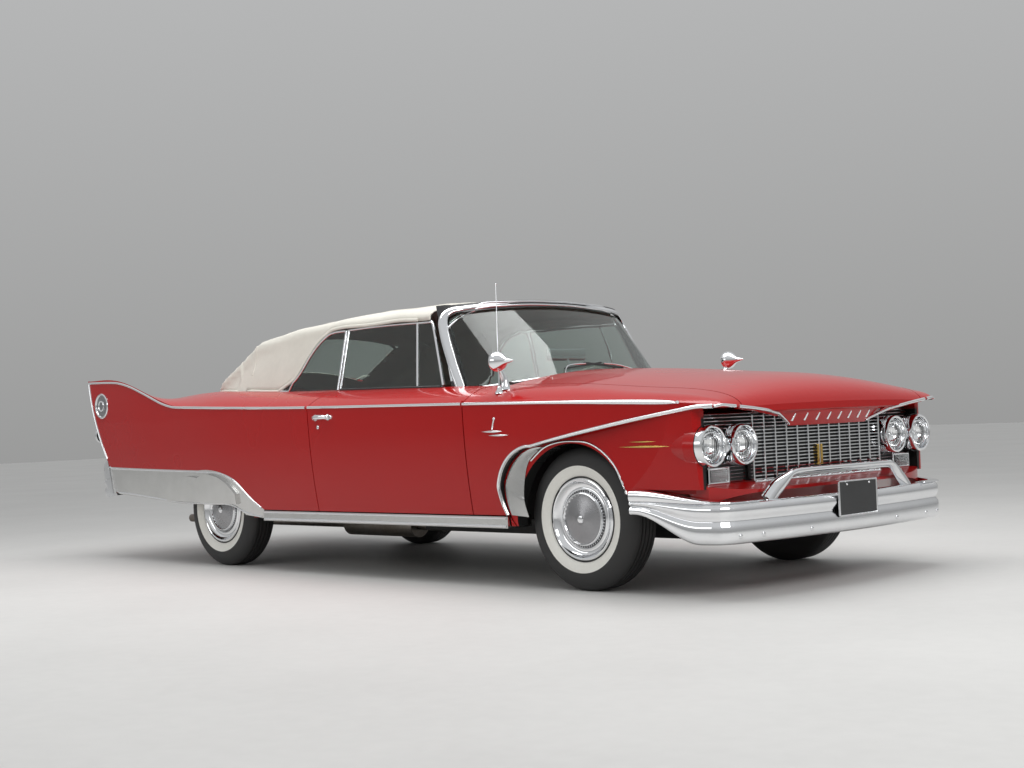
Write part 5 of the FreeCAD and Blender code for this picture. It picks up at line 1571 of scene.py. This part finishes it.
def seats(pleats):
    """Two benches, each with a channelled cushion and back, a white base and white piping."""
    for name, half_width, back_x in (("front", .685, .15), ("rear", .625, .17)):
        low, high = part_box(name + "_seat")
        base = bmesh.new()
        floor, fold = low.z, low.x + back_x
        bench_cushion(base, rounded_section([
            (fold, floor + .16), (fold, floor + .3), (fold + .12, floor + .312), (high.x - .1, floor + .325),
            (high.x - .02, floor + .3), (high.x - .006, floor + .24), (high.x - .02, floor + .165),
            (high.x - .15, floor + .15)]), half_width, pleats)
        cushion = settle(base, name + "_seat_cushion", "upholstery", "red vinyl", crease=60)
        back = bmesh.new()
        bench_cushion(back, rounded_section([
            (low.x + .012, floor + .23), (low.x + .006, floor + .45), (low.x + .015, high.z - .035),
            (low.x + .06, high.z - .006), (low.x + .11, high.z - .03), (fold - .008, floor + .5),
            (fold - .004, floor + .34), (fold - .02, floor + .25)]), half_width, pleats)
        rest = settle(back, name + "_seat_back", "upholstery", "red vinyl", crease=60)
        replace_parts(cushion, name + "_seat")
        base = bmesh.new()
        rounded_box(base, (low.x + .03, -half_width + .03, floor + .001),
                    (high.x - .05, half_width - .03, floor + .165), .02)
        settle(base, name + "_seat_frame", "upholstery", "white vinyl")
        piping = bmesh.new()
        right = [(low.x + .012, -half_width + .01, floor + .3),
                 (low.x + .03, -half_width + .012, high.z - .04),
                 (low.x + .06, -half_width + .06, high.z - .001), (low.x + .06, 0, high.z + .001)]
        line = smooth_path(mirrored(right), 8)
        tube(piping, line, .005, 8, up=(1, 0, .1))
        settle(piping, name + "_seat_piping", "upholstery", "white vinyl")


WHEEL_CENTRE = Vector((.6, .38, .9))
COLUMN_TILT = 62    # degrees from level
COLUMN_END_X = 1.069
RIM_RADIUS, HORN_RADIUS = .205, .12


def steering():
    """The steering wheel with its horn ring and its column."""
    tilt = Matrix.Rotation(radians(180 - COLUMN_TILT), 4, "Y")
    place = Matrix.Translation(WHEEL_CENTRE) @ tilt
    rim, brights = bmesh.new(), bmesh.new()
    ring = [Vector((x, y, 0)) for x, y in circle(RIM_RADIUS, 64)]
    sweep(rim, circle(.0115), closed_stations(ring, UP), close=True)
    for angle in (.25, pi - .25):
        line = [Vector((r * cos(angle + pi / 2), r * sin(angle + pi / 2), .022 - .1 * r))
                for r in (.03, .09, .15, .2)]
        tube(rim, line, .011, 10, [.016, .012, .01, .011])
    lathe(rim, [(.045, .05), (.03, .052), (0, .04), (0, 0)], Vector(), "z", 32)
    bmesh.ops.transform(rim, matrix=place, verts=rim.verts)
    horn = [Vector((x, y, -.018)) for x, y in circle(HORN_RADIUS, 48)]
    sweep(brights, circle(.004, 8), closed_stations(horn, UP), close=True)
    lathe(brights, [(-.014, 0), (-.013, .016), (-.006, .026), (.002, .03), (.004, 0)], Vector(), "z", 32)
    bmesh.ops.transform(brights, matrix=place, verts=brights.verts)
    column = bmesh.new()
    way = (tilt.to_3x3() @ UP).normalized()
    reach = (COLUMN_END_X - WHEEL_CENTRE.x) / way.x
    line = [WHEEL_CENTRE + way * (.045 + (reach - .045) * share) for share in (0, .3, .301, .65, .651, 1)]
    tube(column, line, .026, 20, [.03, .03, .024, .024, .021, .021], up=(0, 1, 0))
    wheel = settle(rim, "steering_wheel_dressed", "wheel_plastic", "wheel plastic", crease=40)
    bright(brights, "horn_ring", crease=40)
    settle(column, "steering_column", "paint", "inner paint", crease=40)
    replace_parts(wheel, "steering_wheel")


def closed_stations(ring, out):
    """Frames round a closed ring, all sharing one out direction."""
    frames = []
    for i, here in enumerate(ring):
        along = (ring[(i + 1) % len(ring)] - ring[i - 1]).normalized()
        across = along.cross(out).normalized()
        frames.append(frame_at(here, across, across.cross(along), along))
    return frames


def dashboard():
    low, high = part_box("dashboard")
    bm = bmesh.new()
    section = rounded_section([
        (low.x + .004, low.z + .02), (low.x + .002, low.z + .1), (low.x + .03, high.z - .075),
        (low.x + .012, high.z - .04), (low.x + .02, high.z - .008), (high.x - .02, high.z - .002),
        (high.x - .004, high.z - .03), (high.x - .004, low.z + .03), (high.x - .03, low.z + .004)])
    middle = Vector(((low.x + high.x) / 2, 0, (low.z + high.z) / 2))
    frames = []
    for step in range(25):
        y = low.y + (high.y - low.y) * step / 24
        size = 1 - .04 * abs(step / 12 - 1) ** 6
        frames.append(cross_frame(middle, y, size))
    sweep(bm, [(x - middle.x, z - middle.z) for x, z in section], frames)
    piece = settle(bm, "dashboard_dressed", "trim_plastic", "red vinyl", crease=50)
    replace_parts(piece, "dashboard")
    rims, faces = bmesh.new(), bmesh.new()
    for y in (.5, .38, .26):
        centre = Vector((low.x + .006, y, low.z + .15))
        radius = .052
        lathe(rims, [(-.01, radius), (-.016, radius - .003), (-.016, radius - .007), (-.008, radius - .009)],
              centre, "x", 36)
        lathe(faces, [(-.008, radius - .008), (-.007, 0)], centre, "x", 36)
        needle = bmesh.ops.create_cube(faces, size=1)["verts"]
        bmesh.ops.scale(faces, verts=needle, vec=(.001, .002, .034))
        bmesh.ops.translate(faces, verts=needle, vec=centre + Vector((-.0095, 0, .016)))
    for y in (0, -.08, .08):
        centre = Vector((low.x + .004, y, low.z + .06))
        lathe(rims, [(-.002, .014), (-.016, .012), (-.022, .01), (-.023, 0)], centre, "x", 20)
    line = [(low.x + .004, y, low.z + .215) for y in (-.6, -.3, 0, .3, .6)]
    strip(rims, line, (-1, 0, 0), .01, .006)
    bright(rims, "dashboard_brights", crease=40)
    settle(faces, "dashboard_dials", "trim_plastic", "dial face", crease=40)


def door_trims():
    """Inside each door: a vinyl panel, an armrest, two cranks and a bright strip."""
    low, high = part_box("door_right")
    inner = high.y + .001

    def panel(bm):
        rounded_box(bm, (low.x + .06, inner - .001, low.z + .03), (high.x - .06, inner + .005, .93), .002, 2)
        for pleat in range(12):
            x = low.x + .14 + pleat * .08
            strip(bm, [(x, inner + .005, z) for z in (.46, .66)], (0, 1, 0), .07, .005, 5)

    def armrest(bm):
        rounded_box(bm, (.18, inner, .69), (.52, inner + .02, .735), .008, 3)

    def cranks(bm):
        for x, z in ((.7, .7), (.62, .8)):
            lathe(bm, [(0, .02), (.008, .018), (.012, .01), (.013, 0)], (x, inner + .004, z), "y", 20,
                  LEFT)
            arm = [(x, inner + .014, z), (x - .045, inner + .016, z - .012),
                   (x - .085, inner + .014, z - .008)]
            tube(bm, smooth_path(arm, 4), .005, 8, up=(0, 1, 0))
        ends = (low.x + .08, high.x - .08)
        strip(bm, [(x, inner + .005, .685) for x in ends], (0, 1, 0), .01, .004)

    on_doors("door_panel", "upholstery", "red vinyl", 50, panel)
    on_doors("door_armrest", "upholstery", "white vinyl", 50, armrest)
    on_doors("door_brights", "chrome", "chrome", 40, cranks)


def carpet():
    """From the firewall back to the rear tyres."""
    bm = bmesh.new()
    rounded_box(bm, (-.9, -.755, .319), (1.05, .755, .33), .004, 2)
    settle(bm, "carpet", "upholstery", "carpet")


# ---- engine bay

BANK_ANGLE = 40    # degrees that each row of cylinders leans outwards


def engine_block():
    """A V8 with its sump, heads, valve covers, intake and fan, in place of the plain block."""
    low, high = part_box("engine")
    bm = bmesh.new()
    front, back = high.x - .12, low.x + .08
    rounded_box(bm, (back, -.15, low.z + .16), (front, .15, high.z - .2), .02)
    rounded_box(bm, (back + .05, -.11, low.z + .005), (front - .05, .11, low.z + .17), .03)
    for side in (RIGHT, LEFT):
        start = len(bm.verts)
        rounded_box(bm, (back + .04, -.065, -.05), (front - .02, .065, .05), .012)
        turned_and_moved(bm, start, (0, side * .175, high.z - .215), (-side * BANK_ANGLE, "X"))
    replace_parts(settle(bm, "engine_castings", "engine_iron", "engine paint", crease=40), "engine")
    covers = bmesh.new()
    for side in (RIGHT, LEFT):
        start = len(covers.verts)
        rounded_box(covers, (back + .06, -.05, .045), (front - .05, .05, .105), .02, 4)
        for rib in range(6):
            x = back + .13 + rib * .085
            line = [(x, y, .105) for y in (-.035, 0, .035)]
            strip(covers, line, (0, 0, 1), .012, .004, 4)
        for x in (back + .1, front - .09):
            lathe(covers, [(.1, .012), (.112, .011), (.116, .006), (.117, 0)], (x, 0, 0), "z", 12)
        turned_and_moved(covers, start, (0, side * .145, high.z - .235), (-side * BANK_ANGLE, "X"))
    settle(covers, "valve_covers", "engine_iron", "black enamel", crease=40)

    top = bmesh.new()
    middle = Vector(((front + back) / 2 + .02, 0, high.z - .16))
    rounded_box(top, (back + .12, -.075, middle.z - .05), (front - .1, .075, middle.z), .015)
    rounded_box(top, middle + Vector((-.06, -.055, -.01)), middle + Vector((.06, .055, .055)), .012)
    for x in range(4):
        for side in (RIGHT, LEFT):
            runner = back + .17 + x * .12
            line = [(runner, side * .04, middle.z - .02), (runner, side * .14, middle.z - .045)]
            tube(top, smooth_path(line, 3), .02, 12, up=(1, 0, 0))
    settle(top, "intake_manifold", "engine_iron", "cast iron", crease=40)
    cleaner = bmesh.new()
    lathe(cleaner, [(.05, .02), (.052, .15), (.058, .16), (.1, .16), (.112, .15), (.118, .06),
                    (.122, .03), (.122, 0)], middle, "z", 48)
    tube(cleaner, [middle + Vector((.14, 0, .078)), middle + Vector((.25, 0, .078))], .032, 18,
         [.034, .028])
    lathe(cleaner, [(.122, .016), (.132, .014), (.136, .006), (.137, 0)], middle, "z", 16)
    settle(cleaner, "air_cleaner", "engine_iron", "black enamel", crease=40)

    fan = bmesh.new()
    hub = Vector((high.x - .045, 0, low.z + .24))
    lathe(fan, [(-.085, .035), (-.08, .06), (-.05, .06), (-.048, .045), (-.03, .045), (-.028, .03),
                (.006, .028), (.008, 0)], hub, "x", 28)
    for blade in range(4):
        start = len(fan.verts)
        rounded_box(fan, (-.003, -.035, .03), (.003, .035, .17), .002, 1)
        turned_and_moved(fan, start, hub, (32, "Z"), (blade * 90, "X"))
    settle(fan, "fan", "engine_iron", "aluminium", crease=40)


RADIATOR_X, RADIATOR_HALF, RADIATOR_FOOT, RADIATOR_TOP, CORE_FINS = 2.13, .31, .4, .735, 58


def engine_extras():
    """The radiator with its hoses, and the battery."""
    bm = bmesh.new()
    x, half, low, high = RADIATOR_X, RADIATOR_HALF, RADIATOR_FOOT, RADIATOR_TOP
    rounded_box(bm, (x, -half, high - .055), (x + .055, half, high), .014)
    rounded_box(bm, (x, -half, low), (x + .055, half, low + .05), .014)
    for side in (RIGHT, LEFT):
        ends = sorted((side * half, side * (half - .022)))
        rounded_box(bm, (x + .004, ends[0], low + .04), (x + .05, ends[1], high - .05), .004)
    lathe(bm, [(-.004, .026), (.01, .026), (.014, .02), (.015, 0)], (x + .028, 0, high), "z", 24)
    settle(bm, "radiator_tanks", "underbody", "black enamel", crease=40)
    core = bmesh.new()
    rounded_box(core, (x + .018, -half + .02, low + .045), (x + .036, half - .02, high - .05), .001, 1)
    for fin in range(CORE_FINS):
        y = -half + .028 + fin * .0098
        line = [(x + .014, y, z) for z in (low + .05, high - .055)]
        strip(core, line, (-1, 0, 0), .003, .003, 2)
    settle(core, "radiator_core", "underbody", "dark steel")
    hoses = bmesh.new()
    top = [(1.88, .05, .655), (1.96, .05, .7), (2.06, .02, .7), (x + .01, 0, .705)]
    bottom = [(1.92, -.14, .5), (2.0, -.18, .47), (2.08, -.21, .445), (x + .01, -.22, .43)]
    for route in (top, bottom):
        tube(hoses, smooth_path(route, 6), .021, 14)
    settle(hoses, "radiator_hoses", "trim_plastic", "rubber seal", crease=60)
    box = bmesh.new()
    rounded_box(box, (2.22, .32, .5), (2.36, .465, .67), .01)
    rounded_box(box, (2.235, .335, .67), (2.345, .45, .685), .006)
    for cell in range(6):
        lathe(box, [(0, .009), (.009, .008), (.011, 0)], (2.29, .345 + cell * .019, .685), "z", 14)
    rounded_box(box, (2.2, .31, .486), (2.37, .477, .5), .004)
    settle(box, "battery", "trim_plastic", "black enamel", crease=40)


def lining(name, section, x_low, x_high, ribs=()):
    """A thin pressed panel on both sides: a (y, z) section carried from x_low to x_high, with ribs."""
    bm = bmesh.new()
    for (y0, z0), (y1, z1) in zip(section, section[1:]):
        way = Vector((0, z1 - z0, y0 - y1)).normalized()
        line = [(x_low + (x_high - x_low) * i / 3, (y0 + y1) / 2, (z0 + z1) / 2) for i in range(4)]
        width = hypot(y1 - y0, z1 - z0) + .003
        flat = [(-width / 2, -.0012), (width / 2, -.0012), (width / 2, .0012), (-width / 2, .0012)]
        sweep(bm, flat, stations(line, way))
    for x in ribs:
        for (y0, z0), (y1, z1) in zip(section[1:], section[2:]):
            tube(bm, [(x, y0, z0 + .001), (x, y1, z1 + .001)], .006, 8, up=(1, 0, 0))
    settle(bm, name, "underbody", "underseal", crease=50, pair=True)


def inner_fenders():
    """The engine bay's side walls with shelves over the front wheels, and the trunk's side panels."""
    wheel_shelf = [(-.475, .44), (-.48, .6), (-.49, .715), (-.505, .732), (-.6, .742), (-.74, .75),
                   (-.88, .752)]
    lining("inner_fenders", wheel_shelf, 1.19, 2.36, (1.32, 1.56, 1.8, 2.1))
    trunk_side = [(-.535, .5185), (-.598, .5215), (-.606, .56), (-.635, .69), (-.706, .742)]
    lining("trunk_side_panels", trunk_side, -2.392, -1.655, (-2.25, -2.0, -1.8))


# ---- floor, light and camera

CAMERA_PLACE = Vector((6.7111, -6.1309, .8228))
CAMERA_YAW, CAMERA_PITCH, CAMERA_ROLL = 2.3696, .0212, -.0406
CAMERA_LENS = 54.8


def make_camera():
    data = bpy.data.cameras.new("camera")
    data.lens, data.sensor_width, data.clip_end = CAMERA_LENS, 36, 200
    camera = add_object("camera", data)
    flat = cos(CAMERA_PITCH)
    ahead = Vector((flat * cos(CAMERA_YAW), flat * sin(CAMERA_YAW), sin(CAMERA_PITCH)))
    right = ahead.cross(UP).normalized()
    above = right.cross(ahead)
    lean_c, lean_s = cos(CAMERA_ROLL), sin(CAMERA_ROLL)
    tilted_right = right * lean_c + above * lean_s
    tilted_up = above * lean_c - right * lean_s
    turn = Matrix((tilted_right, tilted_up, -ahead)).transposed().to_4x4()
    camera.matrix_world = Matrix.Translation(CAMERA_PLACE) @ turn
    bpy.context.scene.camera = camera


def area_light(name, place, aim, size, size_y, power, colour=(1, 1, 1)):
    data = bpy.data.lights.new(name, "AREA")
    data.shape = "RECTANGLE"
    data.size, data.size_y = size, size_y
    data.energy = power
    data.color = colour
    lamp = add_object(name, data)
    way = (Vector(aim) - Vector(place)).to_track_quat("-Z", "Y").to_matrix().to_4x4()
    lamp.matrix_world = Matrix.Translation(Vector(place)) @ way


def make_stage(settings):
    bm = bmesh.new()
    bmesh.ops.create_grid(bm, x_segments=1, y_segments=1, size=40)
    floor = new_piece(bm, "studio_floor")
    make, shader = new_material("studio floor", Roughness=.55)
    mask = grouped(make, "cloudy", Scale=.8, Fine=14)
    colour = tuple(settings.floor_colour)
    link(make, make.mix_colour(mask, (*colour, 1), (*darker(colour, .9), 1)), shader, "Base Color")
    floor.data.materials.append(MATERIALS["studio floor"])
    world = bpy.data.worlds.new("studio")
    bpy.context.scene.world = world
    world.use_nodes = True
    make = Nodes(world.node_tree)
    back = world.node_tree.nodes["Background"]
    height = make.axes(make.add("ShaderNodeTexCoord").outputs["Generated"])["Z"]
    shade = make.spread(height, -.1, .6, 0, 1)
    link(make, make.mix_colour(shade, (.38, .38, .375, 1), (.84, .85, .86, 1)), back, "Color")
    back.inputs["Strength"].default_value = .75
    area_light("top_softbox", (.4, -.4, 5.2), (0, 0, 0), 6.5, 3.2, settings.lamp_power)
    area_light("front_softbox", (6.5, -2.0, 3.4), (1.2, 0, .6), 3.0, 1.6, settings.lamp_power * .35)
    area_light("side_softbox", (-1.5, -7.0, 2.8), (-.4, 0, .6), 6.0, 1.4, settings.lamp_power * .16)
    bpy.context.scene.view_settings.view_transform = "Standard"


# ---- settings

class ConvertibleFinishSettings(bpy.types.PropertyGroup):
    """Colours of the car's paint, top and seats."""

    body_colour: FloatVectorProperty(
        name="Body colour", description="Colour of the painted panels", subtype="COLOR", size=3, min=0, max=1,
        default=(.4, .003, .003))
    canvas_colour: FloatVectorProperty(
        name="Top colour", description="Colour of the fabric top", subtype="COLOR", size=3, min=0, max=1,
        default=(.67, .645, .575))
    seat_colour: FloatVectorProperty(
        name="Seat colour", description="Colour of the seats and door panels", subtype="COLOR", size=3, min=0,
        max=1, default=(.36, .018, .014))


class ConvertibleWheelSettings(bpy.types.PropertyGroup):
    """Sizes of the tyres' and wheel covers' details."""

    white_band: FloatProperty(
        name="White band", description="Width of the tyres' white bands", default=.051, min=0, max=.09,
        unit="LENGTH")
    cover_ribs: IntProperty(
        name="Cover ribs", description="Number of ribs round each wheel cover", default=56, min=12, max=90)


class ConvertibleTrimSettings(bpy.types.PropertyGroup):
    """Sizes of the bright trims and fittings."""

    belt_width: FloatProperty(
        name="Belt strip width", description="Width of the strip along the belt and the fin", default=.015,
        min=.006, max=.04, unit="LENGTH")
    brow_width: FloatProperty(
        name="Brow strip width", description="Width of the strip over the front wheel", default=.016,
        min=.006, max=.04, unit="LENGTH")
    hood_bars: IntProperty(
        name="Hood bars", description="Number of bars on the hood's middle panel", default=8, min=2, max=14)
    plate_width: FloatProperty(
        name="Plate width", description="Width of the number plates", default=.305, min=.1, max=.6,
        unit="LENGTH")
    plate_height: FloatProperty(
        name="Plate height", description="Height of the number plates", default=.155, min=.05, max=.3,
        unit="LENGTH")
    antenna_length: FloatProperty(
        name="Antenna length", description="Height of the antenna's mast", default=.53, min=.1, max=.9,
        unit="LENGTH")


class ConvertibleCabinSettings(bpy.types.PropertyGroup):
    """Sizes of the soft top and the seats."""

    canvas_dip: FloatProperty(
        name="Top's dip", description="How far the fabric dips between two bows", default=.005, min=0,
        max=.03, unit="LENGTH")
    seat_pleats: IntProperty(
        name="Seat channels", description="Number of sewn channels across each seat", default=16, min=4,
        max=30)


class ConvertibleStageSettings(bpy.types.PropertyGroup):
    """The floor and the light."""

    floor_colour: FloatVectorProperty(
        name="Floor colour", description="Colour of the studio floor", subtype="COLOR", size=3, min=0, max=1,
        default=(.62, .615, .6))
    lamp_power: FloatProperty(
        name="Lamp power", description="Power of the large lamp overhead", default=270, min=0, max=2000,
        unit="POWER")


# ---- operators

class ConvertibleFinishes(bpy.types.Operator):
    """Make the finishes and give each part of the frame its own"""

    bl_idname = "convertible.finishes"
    bl_label = "Finishes"

    def execute(self, context):
        make_materials(context.scene.convertible_finish)
        dress_frame()
        return {"FINISHED"}


class ConvertibleWheels(bpy.types.Operator):
    """Add the tyres, rims and wheel covers"""

    bl_idname = "convertible.wheels"
    bl_label = "Wheels"

    def execute(self, context):
        sizes = context.scene.convertible_wheels
        for tag, axle, side in CORNERS:
            tyre_piece(tag, axle, side, sizes.white_band)
            rim_piece(tag, axle, side, sizes.cover_ribs)
        return {"FINISHED"}


class ConvertibleBumpers(bpy.types.Operator):
    """Add both bumpers with their caps, hoop and bolts"""

    bl_idname = "convertible.bumpers"
    bl_label = "Bumpers"

    def execute(self, context):
        front_bumper()
        rear_bumper()
        return {"FINISHED"}


class ConvertibleSideTrims(bpy.types.Operator):
    """Add the strips, mouldings and ornaments along both sides"""

    bl_idname = "convertible.side_trims"
    bl_label = "Side trims"

    def execute(self, context):
        sizes = context.scene.convertible_trims
        belt_strips(sizes.belt_width)
        fin_strips(sizes.belt_width)
        brow_strip(sizes.brow_width)
        hood_lip_strips()
        arch_strip()
        gravel_shield()
        sill_mouldings()
        skirt_mouldings()
        side_ornaments()
        return {"FINISHED"}


class ConvertibleNose(bpy.types.Operator):
    """Add the front lamps, the grille's details, the hood bars and the plates"""

    bl_idname = "convertible.nose"
    bl_label = "Nose"

    def execute(self, context):
        sizes = context.scene.convertible_trims
        headlamps()
        parking_lamps()
        grille_details()
        hood_panel()
        hood_bars(sizes.hood_bars)
        number_plates(sizes.plate_width, sizes.plate_height)
        return {"FINISHED"}


class ConvertibleGlass(bpy.types.Operator):
    """Add the door handles and the frames and seals of the glass"""

    bl_idname = "convertible.glass"
    bl_label = "Glass and handles"

    def execute(self, context):
        on_doors("door_handle", "chrome", "chrome", 40, door_handle)
        on_doors("door_glass_frame", "chrome", "chrome", 50, door_glass_frame)
        on_doors("door_glass_seal", "trim_plastic", "rubber seal", 50, door_glass_seal)
        quarter_glass_frame()
        windshield_seals()
        return {"FINISHED"}


class ConvertibleFittings(bpy.types.Operator):
    """Add the mirrors, antenna, wipers, tail lamps and medallions"""

    bl_idname = "convertible.fittings"
    bl_label = "Fittings"

    def execute(self, context):
        fender_mirrors()
        antenna(context.scene.convertible_trims.antenna_length)
        wipers()
        rear_view_mirror()
        tail_lamps()
        fin_medallions()
        return {"FINISHED"}


class ConvertibleSoftTop(bpy.types.Operator):
    """Stretch the fabric top over its bows and bind its edges"""

    bl_idname = "convertible.soft_top"
    bl_label = "Soft top"

    def execute(self, context):
        soft_top(context.scene.convertible_cabin.canvas_dip)
        top_trims()
        return {"FINISHED"}


class ConvertibleEngineBay(bpy.types.Operator):
    """Add the engine, radiator and battery, the inner fenders and the trunk's side panels"""

    bl_idname = "convertible.engine_bay"
    bl_label = "Engine bay"

    def execute(self, context):
        inner_fenders()
        engine_block()
        engine_extras()
        return {"FINISHED"}


class ConvertibleCabin(bpy.types.Operator):
    """Add the seats, steering wheel, dashboard, door panels and carpet"""

    bl_idname = "convertible.cabin"
    bl_label = "Cabin"

    def execute(self, context):
        seats(context.scene.convertible_cabin.seat_pleats)
        steering()
        dashboard()
        door_trims()
        carpet()
        return {"FINISHED"}


class ConvertibleStage(bpy.types.Operator):
    """Add the studio floor, the lamps and the camera"""

    bl_idname = "convertible.stage"
    bl_label = "Stage"

    def execute(self, context):
        make_stage(context.scene.convertible_stage)
        make_camera()
        return {"FINISHED"}


SETTINGS = (
    ("convertible_finish", ConvertibleFinishSettings), ("convertible_wheels", ConvertibleWheelSettings),
    ("convertible_trims", ConvertibleTrimSettings), ("convertible_cabin", ConvertibleCabinSettings),
    ("convertible_stage", ConvertibleStageSettings))
OPERATORS = (
    ConvertibleFinishes, ConvertibleWheels, ConvertibleBumpers, ConvertibleSideTrims, ConvertibleNose,
    ConvertibleGlass, ConvertibleFittings, ConvertibleSoftTop, ConvertibleCabin, ConvertibleEngineBay,
    ConvertibleStage)


class ConvertiblePanel(bpy.types.Panel):
    """Lists the car's settings and the operators that build it"""

    bl_idname = "VIEW3D_PT_convertible"
    bl_label = "Tail-fin convertible"
    bl_space_type = "VIEW_3D"
    bl_region_type = "UI"
    bl_category = "Convertible"

    def draw(self, context):
        for name, group in SETTINGS:
            box = self.layout.box()
            for label in group.__annotations__:
                box.prop(getattr(context.scene, name), label)
        for operator in OPERATORS:
            self.layout.operator(operator.bl_idname)


CLASSES = tuple(group for _, group in SETTINGS) + OPERATORS + (ConvertiblePanel,)


def register():
    for cls in CLASSES:
        bpy.utils.register_class(cls)
    for name, group in SETTINGS:
        setattr(bpy.types.Scene, name, PointerProperty(type=group))


def unregister():
    for name, _ in SETTINGS:
        delattr(bpy.types.Scene, name)
    for cls in reversed(CLASSES):
        bpy.utils.unregister_class(cls)


def main():
    register()
    bpy.ops.convertible.finishes()
    bpy.ops.convertible.wheels()
    bpy.ops.convertible.bumpers()
    bpy.ops.convertible.side_trims()
    bpy.ops.convertible.nose()
    bpy.ops.convertible.glass()
    bpy.ops.convertible.fittings()
    bpy.ops.convertible.soft_top()
    bpy.ops.convertible.cabin()
    bpy.ops.convertible.engine_bay()
    bpy.ops.convertible.stage()


if __name__ == "__main__":
    main()
